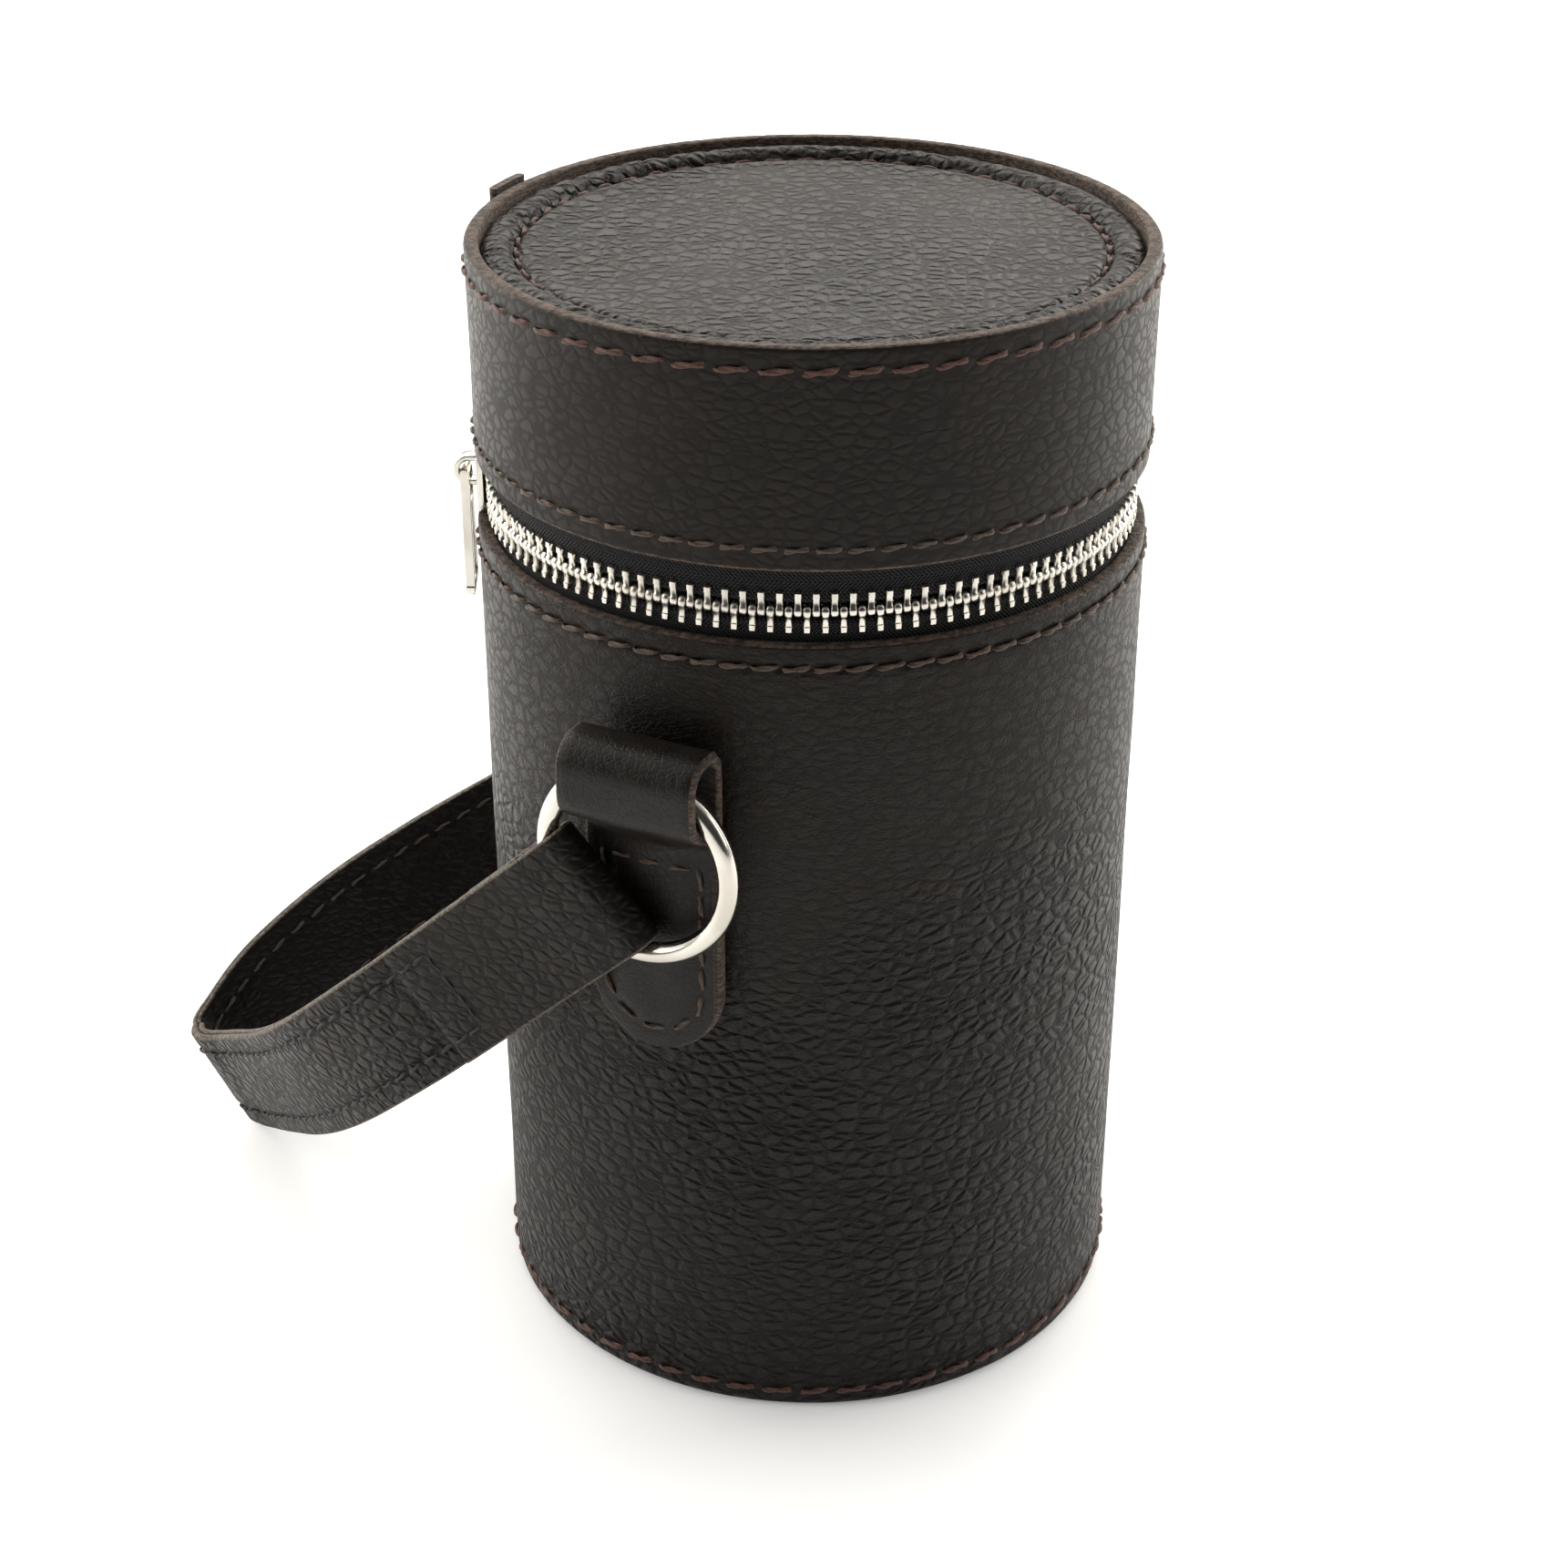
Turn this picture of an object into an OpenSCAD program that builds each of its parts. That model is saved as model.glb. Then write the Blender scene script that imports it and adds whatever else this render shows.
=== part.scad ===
// Round leather dice cup case with a zipped lid, a side strap and two ring keepers.
// Origin at the centre of the base face, +Z up, the lid hinge at the back (+Y), the rings at -X and +X.

/* [Cup] */
// Outside diameter of the cup and the lid
cup_d = 98; // [96:0.5:104]
// Height of the whole case, lid closed
total_h = 171; // [169:0.5:176]
// Thickness of the outer leather
leather_t = 2.2; // [2:0.1:2.3]
// Height of the top edge of the cup's leather
cup_edge_z = 129.4; // [129:0.1:129.8]
// Height of the middle of the zip
zip_z = 133.7; // [133.5:0.1:133.9]
// Height of the lower edge of the lid's leather
lid_edge_z = 140.2; // [140:0.1:140.6]

/* [Zip] */
// Distance from one tooth to the next on the same tape
tooth_pitch = 2.4; // [2.35:0.05:2.6]
// Width of one tooth along the chain
tooth_w = 1.0; // [0.8:0.05:1]
// Reach of the closed teeth above and below the middle
tooth_reach = 2.95; // [2.8:0.05:3]
// Angle of the parked slider about the cup's axis
slider_park = 115; // [114:0.5:116]
// Length of the slider along the zip
slider_l = 8.0; // [7.6:0.1:8.2]
// Length of the pull below its pin
pull_l = 19; // [17:0.5:19]

/* [Keepers and rings] */
// Width of a keeper's leather strip
keeper_w = 21; // [20:0.5:21]
// Thickness of a keeper's leather strip
keeper_t = 1.7; // [1.5:0.1:1.7]
// Height of the lowest point of a keeper
keeper_foot_z = 65.4; // [62:0.2:68]
// Wire diameter of a ring
ring_wire = 3.0; // [2.6:0.1:3]
// Radius of a ring to the middle of its wire
ring_r = 14; // [14:0.1:14.2]
// Distance of a ring from the cup's axis
ring_x = 56; // [55.9:0.1:56.1]
// Height of the centre of the rings
ring_z = 97.6; // [97.4:0.1:97.8]

/* [Strap] */
// Width of the strap
strap_w = 20.4; // [19:0.2:20.6]
// Thickness of the strap's outer layer
strap_outer_t = 1.5; // [1.2:0.1:1.6]
// Thickness of the strap's lining
strap_lining_t = 1.1; // [0.9:0.1:1.2]
// Angle of the strap below the level at rest
strap_droop = 43; // [42.8:0.1:43.4]

/* [Thread] */
// Distance from one stitch to the next on the rim and the base
stitch_pitch = 5.7; // [5.4:0.1:6.4]
// Visible length of one stitch on the rim and the base
stitch_l = 4.6; // [4:0.1:4.8]
// Distance from one stitch to the next beside the zip and on the strap
fine_pitch = 4.2; // [4:0.1:5]
// Visible length of one stitch beside the zip
fine_l = 3.2; // [3:0.1:3.4]
// Width of the thread
thread_w = 0.8; // [0.6:0.05:0.9]

/* [Hidden] */
$fn = 96;

// layers of the wall, from outside to inside, with a thin glue line between them
glue = 0.05;
cup_r = cup_d / 2;
shell_r = cup_r - leather_t;
stiffener_t = 1.25;
core_r = shell_r - glue;
core_in = core_r - stiffener_t;
lining_t = 0.75;
lining_r = core_in - glue;
lining_in = lining_r - lining_t;
disc_r = lining_in - glue;
board_r = core_in - glue;

// base and lid top
flange_h = 9;
board_t = 1.2;
disc_lining_t = 0.8;
base_round = 1.5;
rim_round = 1.1;
top_recess = 2;
puff_h = 0.9;
puff_in = 42.4;
top_z = total_h - top_recess;
top_under_z = top_z - leather_t;
tuck = 8.4;
stitch_off = 3.2;
top_stitch_r = 41.6;
top_pitch = 4.8;

// zip
tape_t = 0.7;
tape_r = shell_r - 0.1;
tape_in = tape_r - tape_t;
chain_r = (tape_r + tape_in) / 2;
tooth_t = 2.4;
tooth_step = 360 * tooth_pitch / (2 * PI * chain_r);
head_overlap = 0.9;
slider_half = asin(slider_l / 2 / chain_r) + 0.35;
chain_start = slider_park + slider_half + 1;
chain_end = 540 - chain_start;
tooth_count = floor((chain_end - chain_start) / tooth_step) + 1;
tape_start = 105;
tape_end = 435;
stop_gap = 0.7;
stop_l = 2.2;
channel_t = tooth_t + 0.5;
channel_w = 2 * tooth_reach + 0.5;
plate_t = 0.9;
flange_w = 0.8;
slider_w = channel_w + 2 * flange_w;
slot_t = tape_t + 0.8;
plate_r = chain_r + channel_t / 2 + plate_t;

// crown and pull
pin_d = 1.3;
pin_r = plate_r + 1.9;
crown_t = 0.85;
crown_z = zip_z + 1.2;
crown_w = 2.4;
crown_h = 4.6;
pull_w = 5.6;
pull_t = 1.3;
pull_rail = 1.15;

// hinge and seam strips at the back
hinge_half = 14.4;
seam_w = 8.5;
seam_t = 1.4;
seam_rise = 0.5;

// keepers
keeper_r = cup_r + glue;
loop_round = 4.6;
loop_front = keeper_r + 10.6;
loop_top = 115.5;
loop_low = 103.8;
sheet_top_z = 99.8;
sheet_r = keeper_r + 2 * keeper_t;
keeper_stitch_in = 3.4;
keeper_back = keeper_r - 2.5;

// outline of the folded loop seen from the side, and of the space that the ring passes through
loop_outline = [for (a = [180 : -15 : 90]) arc(loop_round - loop_front, loop_top - loop_round, loop_round, a),
    for (a = [90 : -15 : 0]) arc(-keeper_r - loop_round, loop_top - loop_round, loop_round, a),
    [-keeper_back, loop_top - loop_round], [-keeper_back, sheet_top_z - 1.5],
    [-sheet_r + 0.4, sheet_top_z - 1.5], [-sheet_r - 0.1, sheet_top_z],
    for (a = [220 : -10 : 180]) arc(6 - loop_front, loop_low + 3.9, 6, a)];
hole_round = loop_round - keeper_t;
loop_hole = [for (a = [90 : 15 : 180]) arc(loop_round - loop_front, loop_top - loop_round, hole_round, a),
    for (a = [180 : 15 : 270]) arc(loop_round - loop_front, loop_low + hole_round, hole_round, a),
    for (a = [270 : 15 : 360]) arc(-keeper_r - loop_round, loop_low + hole_round, hole_round, a),
    for (a = [0 : 15 : 90]) arc(-keeper_r - loop_round, loop_top - loop_round, hole_round, a)];

// strap: a local frame with u = out of the ring along the strap, v = across the strap
droop_dir = [0, cos(strap_droop), -sin(strap_droop)];
droop_up = [0, sin(strap_droop), cos(strap_droop)];
eye_in = 1.8;
eye_t = 1.3;
eye_near = 8.75;
eye_far = 14.2;
fold_end = 30;
tail_end = 48;
strap_start = 18;
strap_rise = 0.55;

// strap's middle line from the left ring round the bend to the right ring, and its upright direction
strap_route = [for (u = [strap_start, 30, 42, 49, 54]) ring_point(-1, u),
    [-54.4, 46.5, 54.4], [-50.5, 57, 44.6], [-44, 67.5, 35], [-36.5, 77.5, 26.5], [-29.5, 87, 19.5],
    [-24, 95, 14], [-21.4, 100.6, 11.4], [-19.3, 103.6, 10.7], [-16, 104.4, 11.6], [-12, 102.8, 15],
    [-5, 98.5, 22.6], [6, 90.8, 30.6], [18, 81.5, 37.2], [30, 71.5, 43], [41, 60.5, 49], [51.5, 47.5, 55],
    for (u = [54, 49, 42, 30, strap_start]) ring_point(1, u)];
strap_upright = [droop_up, droop_up, droop_up, droop_up, droop_up, droop_up, droop_up, [0, 0.66, 0.75],
    [-0.02, 0.6, 0.8], [-0.08, 0.52, 0.85], [-0.14, 0.46, 0.87], [-0.2, 0.4, 0.89], [-0.2, 0.36, 0.91],
    [-0.16, 0.34, 0.93], [-0.1, 0.33, 0.94], [-0.04, 0.36, 0.93], [0, 0.4, 0.91], [0, 0.46, 0.88],
    [0, 0.54, 0.84], [0, 0.6, 0.8], [0, 0.66, 0.75], droop_up, droop_up, droop_up, droop_up,
    droop_up];
strap_steps = 4;

hide_brown = [0.13, 0.10, 0.085];
lining_black = [0.05, 0.05, 0.05];
board_grey = [0.45, 0.42, 0.38];
tape_black = [0.03, 0.03, 0.03];
thread_brown = [0.28, 0.18, 0.12];
nickel = [0.80, 0.79, 0.76];

function ring_point(side, u) =
    [side * (ring_x - strap_rise), 0, ring_z] + u * droop_dir;
function arc(x, y, r, a) = [x + r * cos(a), y + r * sin(a)];
function unit(v) = v / norm(v);
function mix(a, b, t) = a + (b - a) * t;

// smooth curve through the route's points
function spline(p, i, t) =
    let (n = len(p) - 1,
         a = p[max(i - 1, 0)], b = p[i], c = p[min(i + 1, n)], d = p[min(i + 2, n)])
    0.5 * (2 * b + (c - a) * t + (2 * a - 5 * b + 4 * c - d) * t * t
        + (3 * b - a - 3 * c + d) * t * t * t);
strap_n = (len(strap_route) - 1) * strap_steps;
strap_mid = [for (k = [0 : strap_n])
    let (i = min(floor(k / strap_steps), len(strap_route) - 2))
    spline(strap_route, i, k / strap_steps - i)];
strap_dir = [for (k = [0 : strap_n])
    k == 0 ? droop_dir : k == strap_n ? -droop_dir : unit(strap_mid[k + 1] - strap_mid[k - 1])];
strap_up = [for (k = [0 : strap_n])
    let (i = min(floor(k / strap_steps), len(strap_route) - 2),
         v = mix(strap_upright[i], strap_upright[i + 1], k / strap_steps - i))
    unit(v - (v * strap_dir[k]) * strap_dir[k])];
strap_in = [for (k = [0 : strap_n]) cross(strap_dir[k], strap_up[k])];
strap_step = [for (k = [0 : strap_n - 1]) norm(strap_mid[k + 1] - strap_mid[k])];
strap_run = [for (k = 0, run = 0; k < strap_n; run = run + strap_step[k], k = k + 1) run];

// a tube section: rectangle in radius and height, turned about Z from angle a to b
module wall(r_in, r_out, z_low, z_high, a = 0, b = 360) {
    rotate_extrude(angle = b - a, start = a)
        translate([r_in, z_low])
            square([r_out - r_in, z_high - z_low]);
}

module disc(r, z_low, z_high) {
    translate([0, 0, z_low])
        cylinder(r = r, h = z_high - z_low);
}

// outer leather of the cup, its lower outside corner rounded
module cup_wall_leather() {
    color(hide_brown)
        rotate_extrude() {
            translate([shell_r, base_round])
                square([leather_t, cup_edge_z - base_round]);
            translate([shell_r, 0])
                square([leather_t - base_round, base_round]);
            intersection() {
                translate([cup_r - base_round, base_round])
                    circle(r = base_round);
                translate([cup_r - base_round, 0])
                    square(base_round);
            }
        }
}

module cup_stiffener() {
    color(board_grey)
        wall(core_in, core_r, flange_h + glue, cup_edge_z - tuck - 0.5);
}

module cup_lining() {
    color(lining_black)
        wall(lining_in, lining_r, leather_t + board_t + 2 * glue, cup_edge_z - 0.6);
}

module base_leather() {
    color(hide_brown) {
        disc(core_r, 0, leather_t);
        wall(core_in, core_r, leather_t, flange_h);
    }
}

module base_board() {
    color(board_grey)
        disc(board_r, leather_t + glue, leather_t + board_t);
}

module base_lining() {
    color(lining_black)
        disc(disc_r, leather_t + board_t + 2 * glue, leather_t + board_t + disc_lining_t);
}

// stitches lying round the wall at height z, between the seam strip's two sides
module wall_stitches(z, pitch, length) {
    count = floor((row_end - row_start) / (360 * pitch / (2 * PI * cup_r)));
    step = (row_end - row_start) / count;
    for (i = [0 : count - 1])
        rotate([0, 0, row_start + (i + 0.5) * step])
            translate([cup_r + glue, -length / 2, z - thread_w / 2])
                cube([0.35, length, thread_w]);
}

// stitches stop short of the seam strip at the back
seam_half = 360 * (seam_w / 2 + 0.6) / (2 * PI * cup_r);
row_start = 90 + seam_half;
row_end = 450 - seam_half;

module base_stitching() {
    color(thread_brown)
        wall_stitches(stitch_off, stitch_pitch, stitch_l);
}

module cup_zip_stitching() {
    color(thread_brown)
        wall_stitches(cup_edge_z - stitch_off, fine_pitch, fine_l);
}

module lid_zip_stitching() {
    color(thread_brown)
        wall_stitches(lid_edge_z + stitch_off, fine_pitch, fine_l);
}

module lid_rim_stitching() {
    color(thread_brown)
        wall_stitches(total_h - stitch_off, stitch_pitch, stitch_l);
}

// stitches round the lid's top face
module lid_top_stitching() {
    count = floor(2 * PI * top_stitch_r / top_pitch);
    color(thread_brown)
        for (i = [0 : count - 1])
            rotate([0, 0, i * 360 / count])
                translate([top_stitch_r - thread_w / 2, -fine_l / 2, top_z + glue])
                    cube([thread_w, fine_l, 0.35]);
}

module zip_tape_lower() {
    color(tape_black)
        wall(tape_in, tape_r, cup_edge_z - tuck, zip_z - tooth_reach - glue, tape_start, tape_end);
}

module zip_tape_upper() {
    color(tape_black)
        wall(tape_in, tape_r, zip_z + tooth_reach + glue, lid_edge_z + tuck, tape_start, tape_end);
}

// one tooth: a leg with a slightly narrower tip that reaches past the middle, side = 1 from below
module tooth(side) {
    tip = tooth_reach + head_overlap;
    w = tooth_w / 2;
    translate([chain_r + tooth_t / 2, 0, zip_z])
        rotate([90, 0, -90])
            linear_extrude(tooth_t)
                polygon([for (p = [[-w, -tooth_reach], [w, -tooth_reach], [w, tip - tooth_reach - 0.35],
                    [w * 0.6, tip - tooth_reach], [-w * 0.6, tip - tooth_reach],
                    [-w, tip - tooth_reach - 0.35]]) [p[0], side * p[1]]]);
}

module zip_teeth_lower() {
    color(nickel)
        for (i = [0 : tooth_count - 1])
            rotate([0, 0, chain_start + i * tooth_step])
                tooth(1);
}

module zip_teeth_upper() {
    color(nickel)
        for (i = [0 : tooth_count - 2])
            rotate([0, 0, chain_start + (i + 0.5) * tooth_step])
                tooth(-1);
}

stop_turn = asin((stop_l / 2 + stop_gap) / chain_r);

// one small clamped stop on a tape, at angle a
module stop_block(a, z_low, z_high) {
    rotate([0, 0, a])
        translate([chain_r - tooth_t / 2, -stop_l / 2, z_low])
            cube([tooth_t, stop_l, z_high - z_low]);
}

module zip_top_stop_lower() {
    color(nickel)
        stop_block(slider_park - slider_half - stop_turn, zip_z - tooth_reach, zip_z - 0.2);
}

module zip_top_stop_upper() {
    color(nickel)
        stop_block(slider_park - slider_half - stop_turn, zip_z + 0.2, zip_z + tooth_reach);
}

module zip_bottom_stop() {
    color(nickel)
        stop_block(540 - slider_park + slider_half + stop_turn,
            zip_z - tooth_reach, zip_z + tooth_reach - 0.3);
}

// flexible hinge leather behind both edges, between the ends of the zip tapes
module hinge_strip() {
    color(hide_brown)
        wall(tape_in, tape_r, cup_edge_z - tuck, lid_edge_z + tuck, 90 - hinge_half, 90 + hinge_half);
}

// strip over the seam of the wall, following the round wall
module seam_strip(z_low, z_high) {
    turn = 360 * seam_w / 2 / (2 * PI * cup_r);
    wall(cup_r + glue, cup_r + glue + seam_t, z_low, z_high, 90 - turn, 90 + turn);
}

module wall_seam_strip() {
    color(hide_brown)
        seam_strip(0.6, cup_edge_z);
}

module lid_seam_strip() {
    color(hide_brown)
        seam_strip(lid_edge_z, total_h + seam_rise);
}

// keeper: a strip folded over the ring, both layers stitched to the wall; side is -1 or 1
module keeper(side) {
    foot_r = keeper_w / 2;
    color(hide_brown)
        mirror([side > 0 ? 1 : 0, 0, 0])
            difference() {
                union() {
                    intersection() {
                        disc(sheet_r, keeper_foot_z - 1, sheet_top_z);
                        translate([-sheet_r - 5, 0, 0])
                            rotate([90, 0, 90])
                                linear_extrude(20)
                                    polygon([[foot_r, sheet_top_z + 1], [-foot_r, sheet_top_z + 1],
                                        for (a = [180 : 15 : 360])
                                            [foot_r * cos(a), keeper_foot_z + foot_r + foot_r * sin(a)]]);
                    }
                    translate([0, keeper_w / 2 - 0.01, 0])
                        rotate([90, 0, 0])
                            linear_extrude(keeper_w - 0.02)
                                difference() {
                                    polygon(loop_outline);
                                    polygon(loop_hole);
                                }
                }
                cylinder(r = keeper_r, h = 140);
            }
}

module keeper_left() {
    keeper(-1);
}

module keeper_right() {
    keeper(1);
}

// one stitch on a keeper: s along the wall, z up, turned by a in the wall's surface
module keeper_stitch(s, z, a) {
    rotate([0, 0, 180 + 360 * s / (2 * PI * cup_r)])
        translate([sheet_r + 0.02, 0, z])
            rotate([a, 0, 0])
                translate([0, -1.3, -thread_w / 2])
                    cube([0.16, 2.6, thread_w]);
}

module keeper_stitching(side) {
    half = keeper_w / 2 - keeper_stitch_in;
    arc_z = keeper_foot_z + keeper_w / 2;
    row_top = sheet_top_z - 3.9;
    rows = round((row_top - arc_z) / 4);
    color(thread_brown)
        mirror([side > 0 ? 1 : 0, 0, 0]) {
            for (s = [-half, half])
                for (i = [0 : rows - 1])
                    keeper_stitch(s, arc_z + 2.4 + i * 4, 90);
            for (a = [18 : 36 : 162])
                keeper_stitch(-half * cos(a), arc_z - half * sin(a), a + 90);
            for (s = [-4.2, 0, 4.2])
                keeper_stitch(s, row_top, 0);
        }
}

module keeper_stitching_left() {
    keeper_stitching(-1);
}

module keeper_stitching_right() {
    keeper_stitching(1);
}

module lid_wall_leather() {
    color(hide_brown)
        rotate_extrude() {
            translate([shell_r, lid_edge_z])
                square([leather_t, total_h - rim_round - lid_edge_z]);
            translate([shell_r, total_h - rim_round])
                square([leather_t - rim_round, rim_round]);
            intersection() {
                translate([cup_r - rim_round, total_h - rim_round])
                    circle(r = rim_round);
                translate([cup_r - rim_round, total_h - rim_round])
                    square(rim_round);
            }
        }
}

module lid_stiffener() {
    color(board_grey)
        wall(core_in, core_r, lid_edge_z + tuck + 0.2, top_z - flange_h);
}

module lid_lining() {
    color(lining_black)
        wall(lining_in, lining_r, lid_edge_z + 0.6, top_under_z - board_t - 2 * glue);
}

// top leather: flat middle, a soft raised ring next to the rim, and a flange sewn to the wall
module lid_top_leather() {
    puff_mid = (core_r + puff_in) / 2;
    puff_half = (core_r - puff_in) / 2;
    puff_r = (puff_half * puff_half + puff_h * puff_h) / (2 * puff_h);
    color(hide_brown) {
        disc(core_r, top_under_z, top_z);
        wall(core_in, core_r, top_z - flange_h + glue, top_under_z);
        rotate_extrude()
            intersection() {
                translate([puff_mid, top_z + puff_h - puff_r])
                    circle(r = puff_r);
                translate([puff_in, top_z])
                    square([core_r - puff_in, puff_h]);
            }
    }
}

module lid_top_board() {
    color(board_grey)
        disc(board_r, top_under_z - board_t, top_under_z - glue);
}

module lid_top_lining() {
    color(lining_black)
        disc(disc_r, top_under_z - board_t - disc_lining_t, top_under_z - board_t - glue);
}

// slider: two plates with lips over the chain, joined at the front by a wedge
module slider_body() {
    color(nickel)
        rotate([0, 0, slider_park])
            translate([chain_r, 0, zip_z]) {
                difference() {
                    translate([-channel_t / 2 - plate_t, -slider_l / 2, -slider_w / 2])
                        cube([channel_t + 2 * plate_t, slider_l, slider_w]);
                    translate([-channel_t / 2, -slider_l, -channel_w / 2])
                        cube([channel_t, 2 * slider_l, channel_w]);
                    translate([-slot_t / 2, -slider_l, -slider_w])
                        cube([slot_t, 2 * slider_l, 2 * slider_w]);
                    for (s = [-1, 1])
                        translate([0, -slider_l / 2, s * (slider_w / 2 + 2.2)])
                            rotate([0, 90, 0])
                                cylinder(r = 3, h = 20, center = true);
                }
                translate([-channel_t / 2 - 0.1, -slider_l / 2 + 0.9, 0])
                    rotate([0, 90, 0])
                        linear_extrude(channel_t + 0.2)
                            polygon([[-1.1, -0.6], [1.1, -0.6], [0.5, 2], [-0.5, 2]]);
            }
}

// crown: a bent strip that makes a tunnel along the zip for the pull's pin
module slider_crown() {
    half = crown_h / 2;
    out = pin_r - plate_r + pin_d / 2 + 0.25 + crown_t;
    color(nickel)
        rotate([0, 0, slider_park])
            translate([plate_r + 0.02, crown_w / 2, crown_z])
                rotate([90, 0, 0])
                    linear_extrude(crown_w)
                        difference() {
                            union() {
                                translate([0, -half])
                                    square([out - half, crown_h]);
                                intersection() {
                                    translate([out - half, 0])
                                        circle(r = half);
                                    translate([out - half, -half])
                                        square([half, crown_h]);
                                }
                            }
                            translate([-1, -half + crown_t])
                                square([1 + out - half, crown_h - 2 * crown_t]);
                            translate([out - half, 0])
                                circle(r = half - crown_t);
                        }
}

// pull: a pin through the crown and a long open frame that hangs from it
module zip_pull() {
    reach = pull_w / 2;
    color(nickel)
        rotate([0, 0, slider_park])
            translate([pin_r, 0, crown_z]) {
                rotate([90, 0, 0])
                    cylinder(d = pin_d, h = pull_w - pull_rail, center = true);
                for (s = [-1, 1]) {
                    translate([0, s * (reach - pull_rail / 2), 0])
                        rotate([90, 0, 0])
                            cylinder(d = pull_t, h = pull_rail, center = true);
                    translate([-pull_t / 2, s * (reach - pull_rail / 2) - pull_rail / 2, -pull_l + 1.2])
                        cube([pull_t, pull_rail, pull_l - 1.2]);
                    translate([-pull_t / 2, s * reach - 0.4, -pull_l])
                        cube([pull_t, 0.8, 1.1]);
                }
                translate([-pull_t / 2, -reach, -pull_l])
                    cube([pull_t, pull_w, 2.4]);
                translate([-pull_t / 2, -reach, -4.6])
                    cube([pull_t, pull_w, 1.2]);
            }
}

module keeper_ring(side) {
    color(nickel)
        translate([side * ring_x, 0, ring_z])
            rotate([0, 90, 0])
                rotate_extrude()
                    translate([ring_r, 0])
                        circle(d = ring_wire);
}

module ring_left() {
    keeper_ring(-1);
}

module ring_right() {
    keeper_ring(1);
}

// a flat layer swept along the strap's line, from inside offset a to b
module strap_layer(a, b) {
    w = strap_w / 2;
    n = strap_n;
    corners = [for (k = [0 : n])
        for (c = [[a, -w], [b, -w], [b, w], [a, w]])
            strap_mid[k] + c[0] * strap_in[k] + c[1] * strap_up[k]];
    sides = [for (k = [0 : n - 1])
        for (j = [0 : 3])
            let (p = 4 * k + j, q = 4 * k + (j + 1) % 4)
            for (f = j == 3 ? [[p, q, q + 4], [p, q + 4, p + 4]] : [[p, q, p + 4], [p + 4, q, q + 4]]) f];
    polyhedron(points = corners,
        faces = concat(sides, [[3, 2, 1, 0], [4 * n, 4 * n + 1, 4 * n + 2, 4 * n + 3]]));
}

module strap_outer() {
    color(hide_brown)
        strap_layer(-strap_outer_t, -glue / 2);
}

module strap_lining() {
    color(hide_brown)
        strap_layer(glue / 2, strap_lining_t);
}

// end of the strap: leather folded round the ring, its long tail lying on the strap's outside
module strap_end(side) {
    reach = eye_in + eye_t;
    tail_x = strap_outer_t - strap_rise + glue;
    fold_x = strap_rise + strap_lining_t + glue;
    back = eye_far + reach;
    color(hide_brown)
        translate([side * ring_x, 0, ring_z])
            mirror([side > 0 ? 1 : 0, 0, 0])
                rotate([-strap_droop, 0, 0])
                    translate([0, 0, -strap_w / 2])
                        linear_extrude(strap_w)
                            difference() {
                                polygon([for (a = [180 : 15 : 360]) arc(0, eye_near, reach, a),
                                    [reach, eye_far], [fold_x + eye_t, fold_end - 6],
                                    [fold_x + 0.4, fold_end], [fold_x, fold_end], [fold_x, back],
                                    [-tail_x, back], [-tail_x, tail_end], [-tail_x - 0.9, tail_end],
                                    [-tail_x - eye_t, tail_end - 1], [-tail_x - eye_t, fold_end - 4],
                                    [-reach, back + 3]]);
                                polygon([for (a = [180 : 15 : 360]) arc(0, eye_near, eye_in, a),
                                    for (a = [0 : 15 : 180]) arc(0, eye_far, eye_in, a)]);
                            }
}

module strap_end_left() {
    strap_end(-1);
}

module strap_end_right() {
    strap_end(1);
}

// one stitch at p, long way along d, standing off the leather towards o
module placed_stitch(p, d, o) {
    u = cross(o, d);
    multmatrix([[d[0], u[0], o[0], p[0]], [d[1], u[1], o[1], p[1]], [d[2], u[2], o[2], p[2]], [0, 0, 0, 1]])
        translate([-1.4, -thread_w / 2, 0])
            cube([2.8, thread_w, 0.3]);
}

// two rows of stitches near the edges of the strap's outside, and a bracket of them on each tail
module strap_stitching() {
    row = strap_w / 2 - 3.6;
    first = tail_end - strap_start + 2.2;
    last = strap_run[strap_n - 1] - first;
    tail_out = ring_x + strap_outer_t - strap_rise + glue + eye_t + 0.03;
    color(thread_brown) {
        for (run = [first : fine_pitch : last]) {
            k = len([for (v = strap_run) if (v < run) v]) - 1;
            t = (run - strap_run[k]) / strap_step[k];
            for (s = [-1, 1])
                placed_stitch(mix(strap_mid[k], strap_mid[k + 1], t) - (strap_outer_t + 0.2) * strap_in[k]
                    + s * row * strap_up[k], strap_dir[k], -strap_in[k]);
        }
        for (side = [-1, 1]) {
            for (u = [tail_end - 5.6, tail_end - 2.6])
                for (s = [-1, 1])
                    placed_stitch([side * tail_out, 0, ring_z] + u * droop_dir + s * row * droop_up,
                        droop_dir, [side, 0, 0]);
            for (s = [-4.6, -1.5, 1.5, 4.6])
                placed_stitch([side * tail_out, 0, ring_z] + (tail_end - 7.6) * droop_dir + s * droop_up,
                    droop_up, [side, 0, 0]);
        }
    }
}

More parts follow.
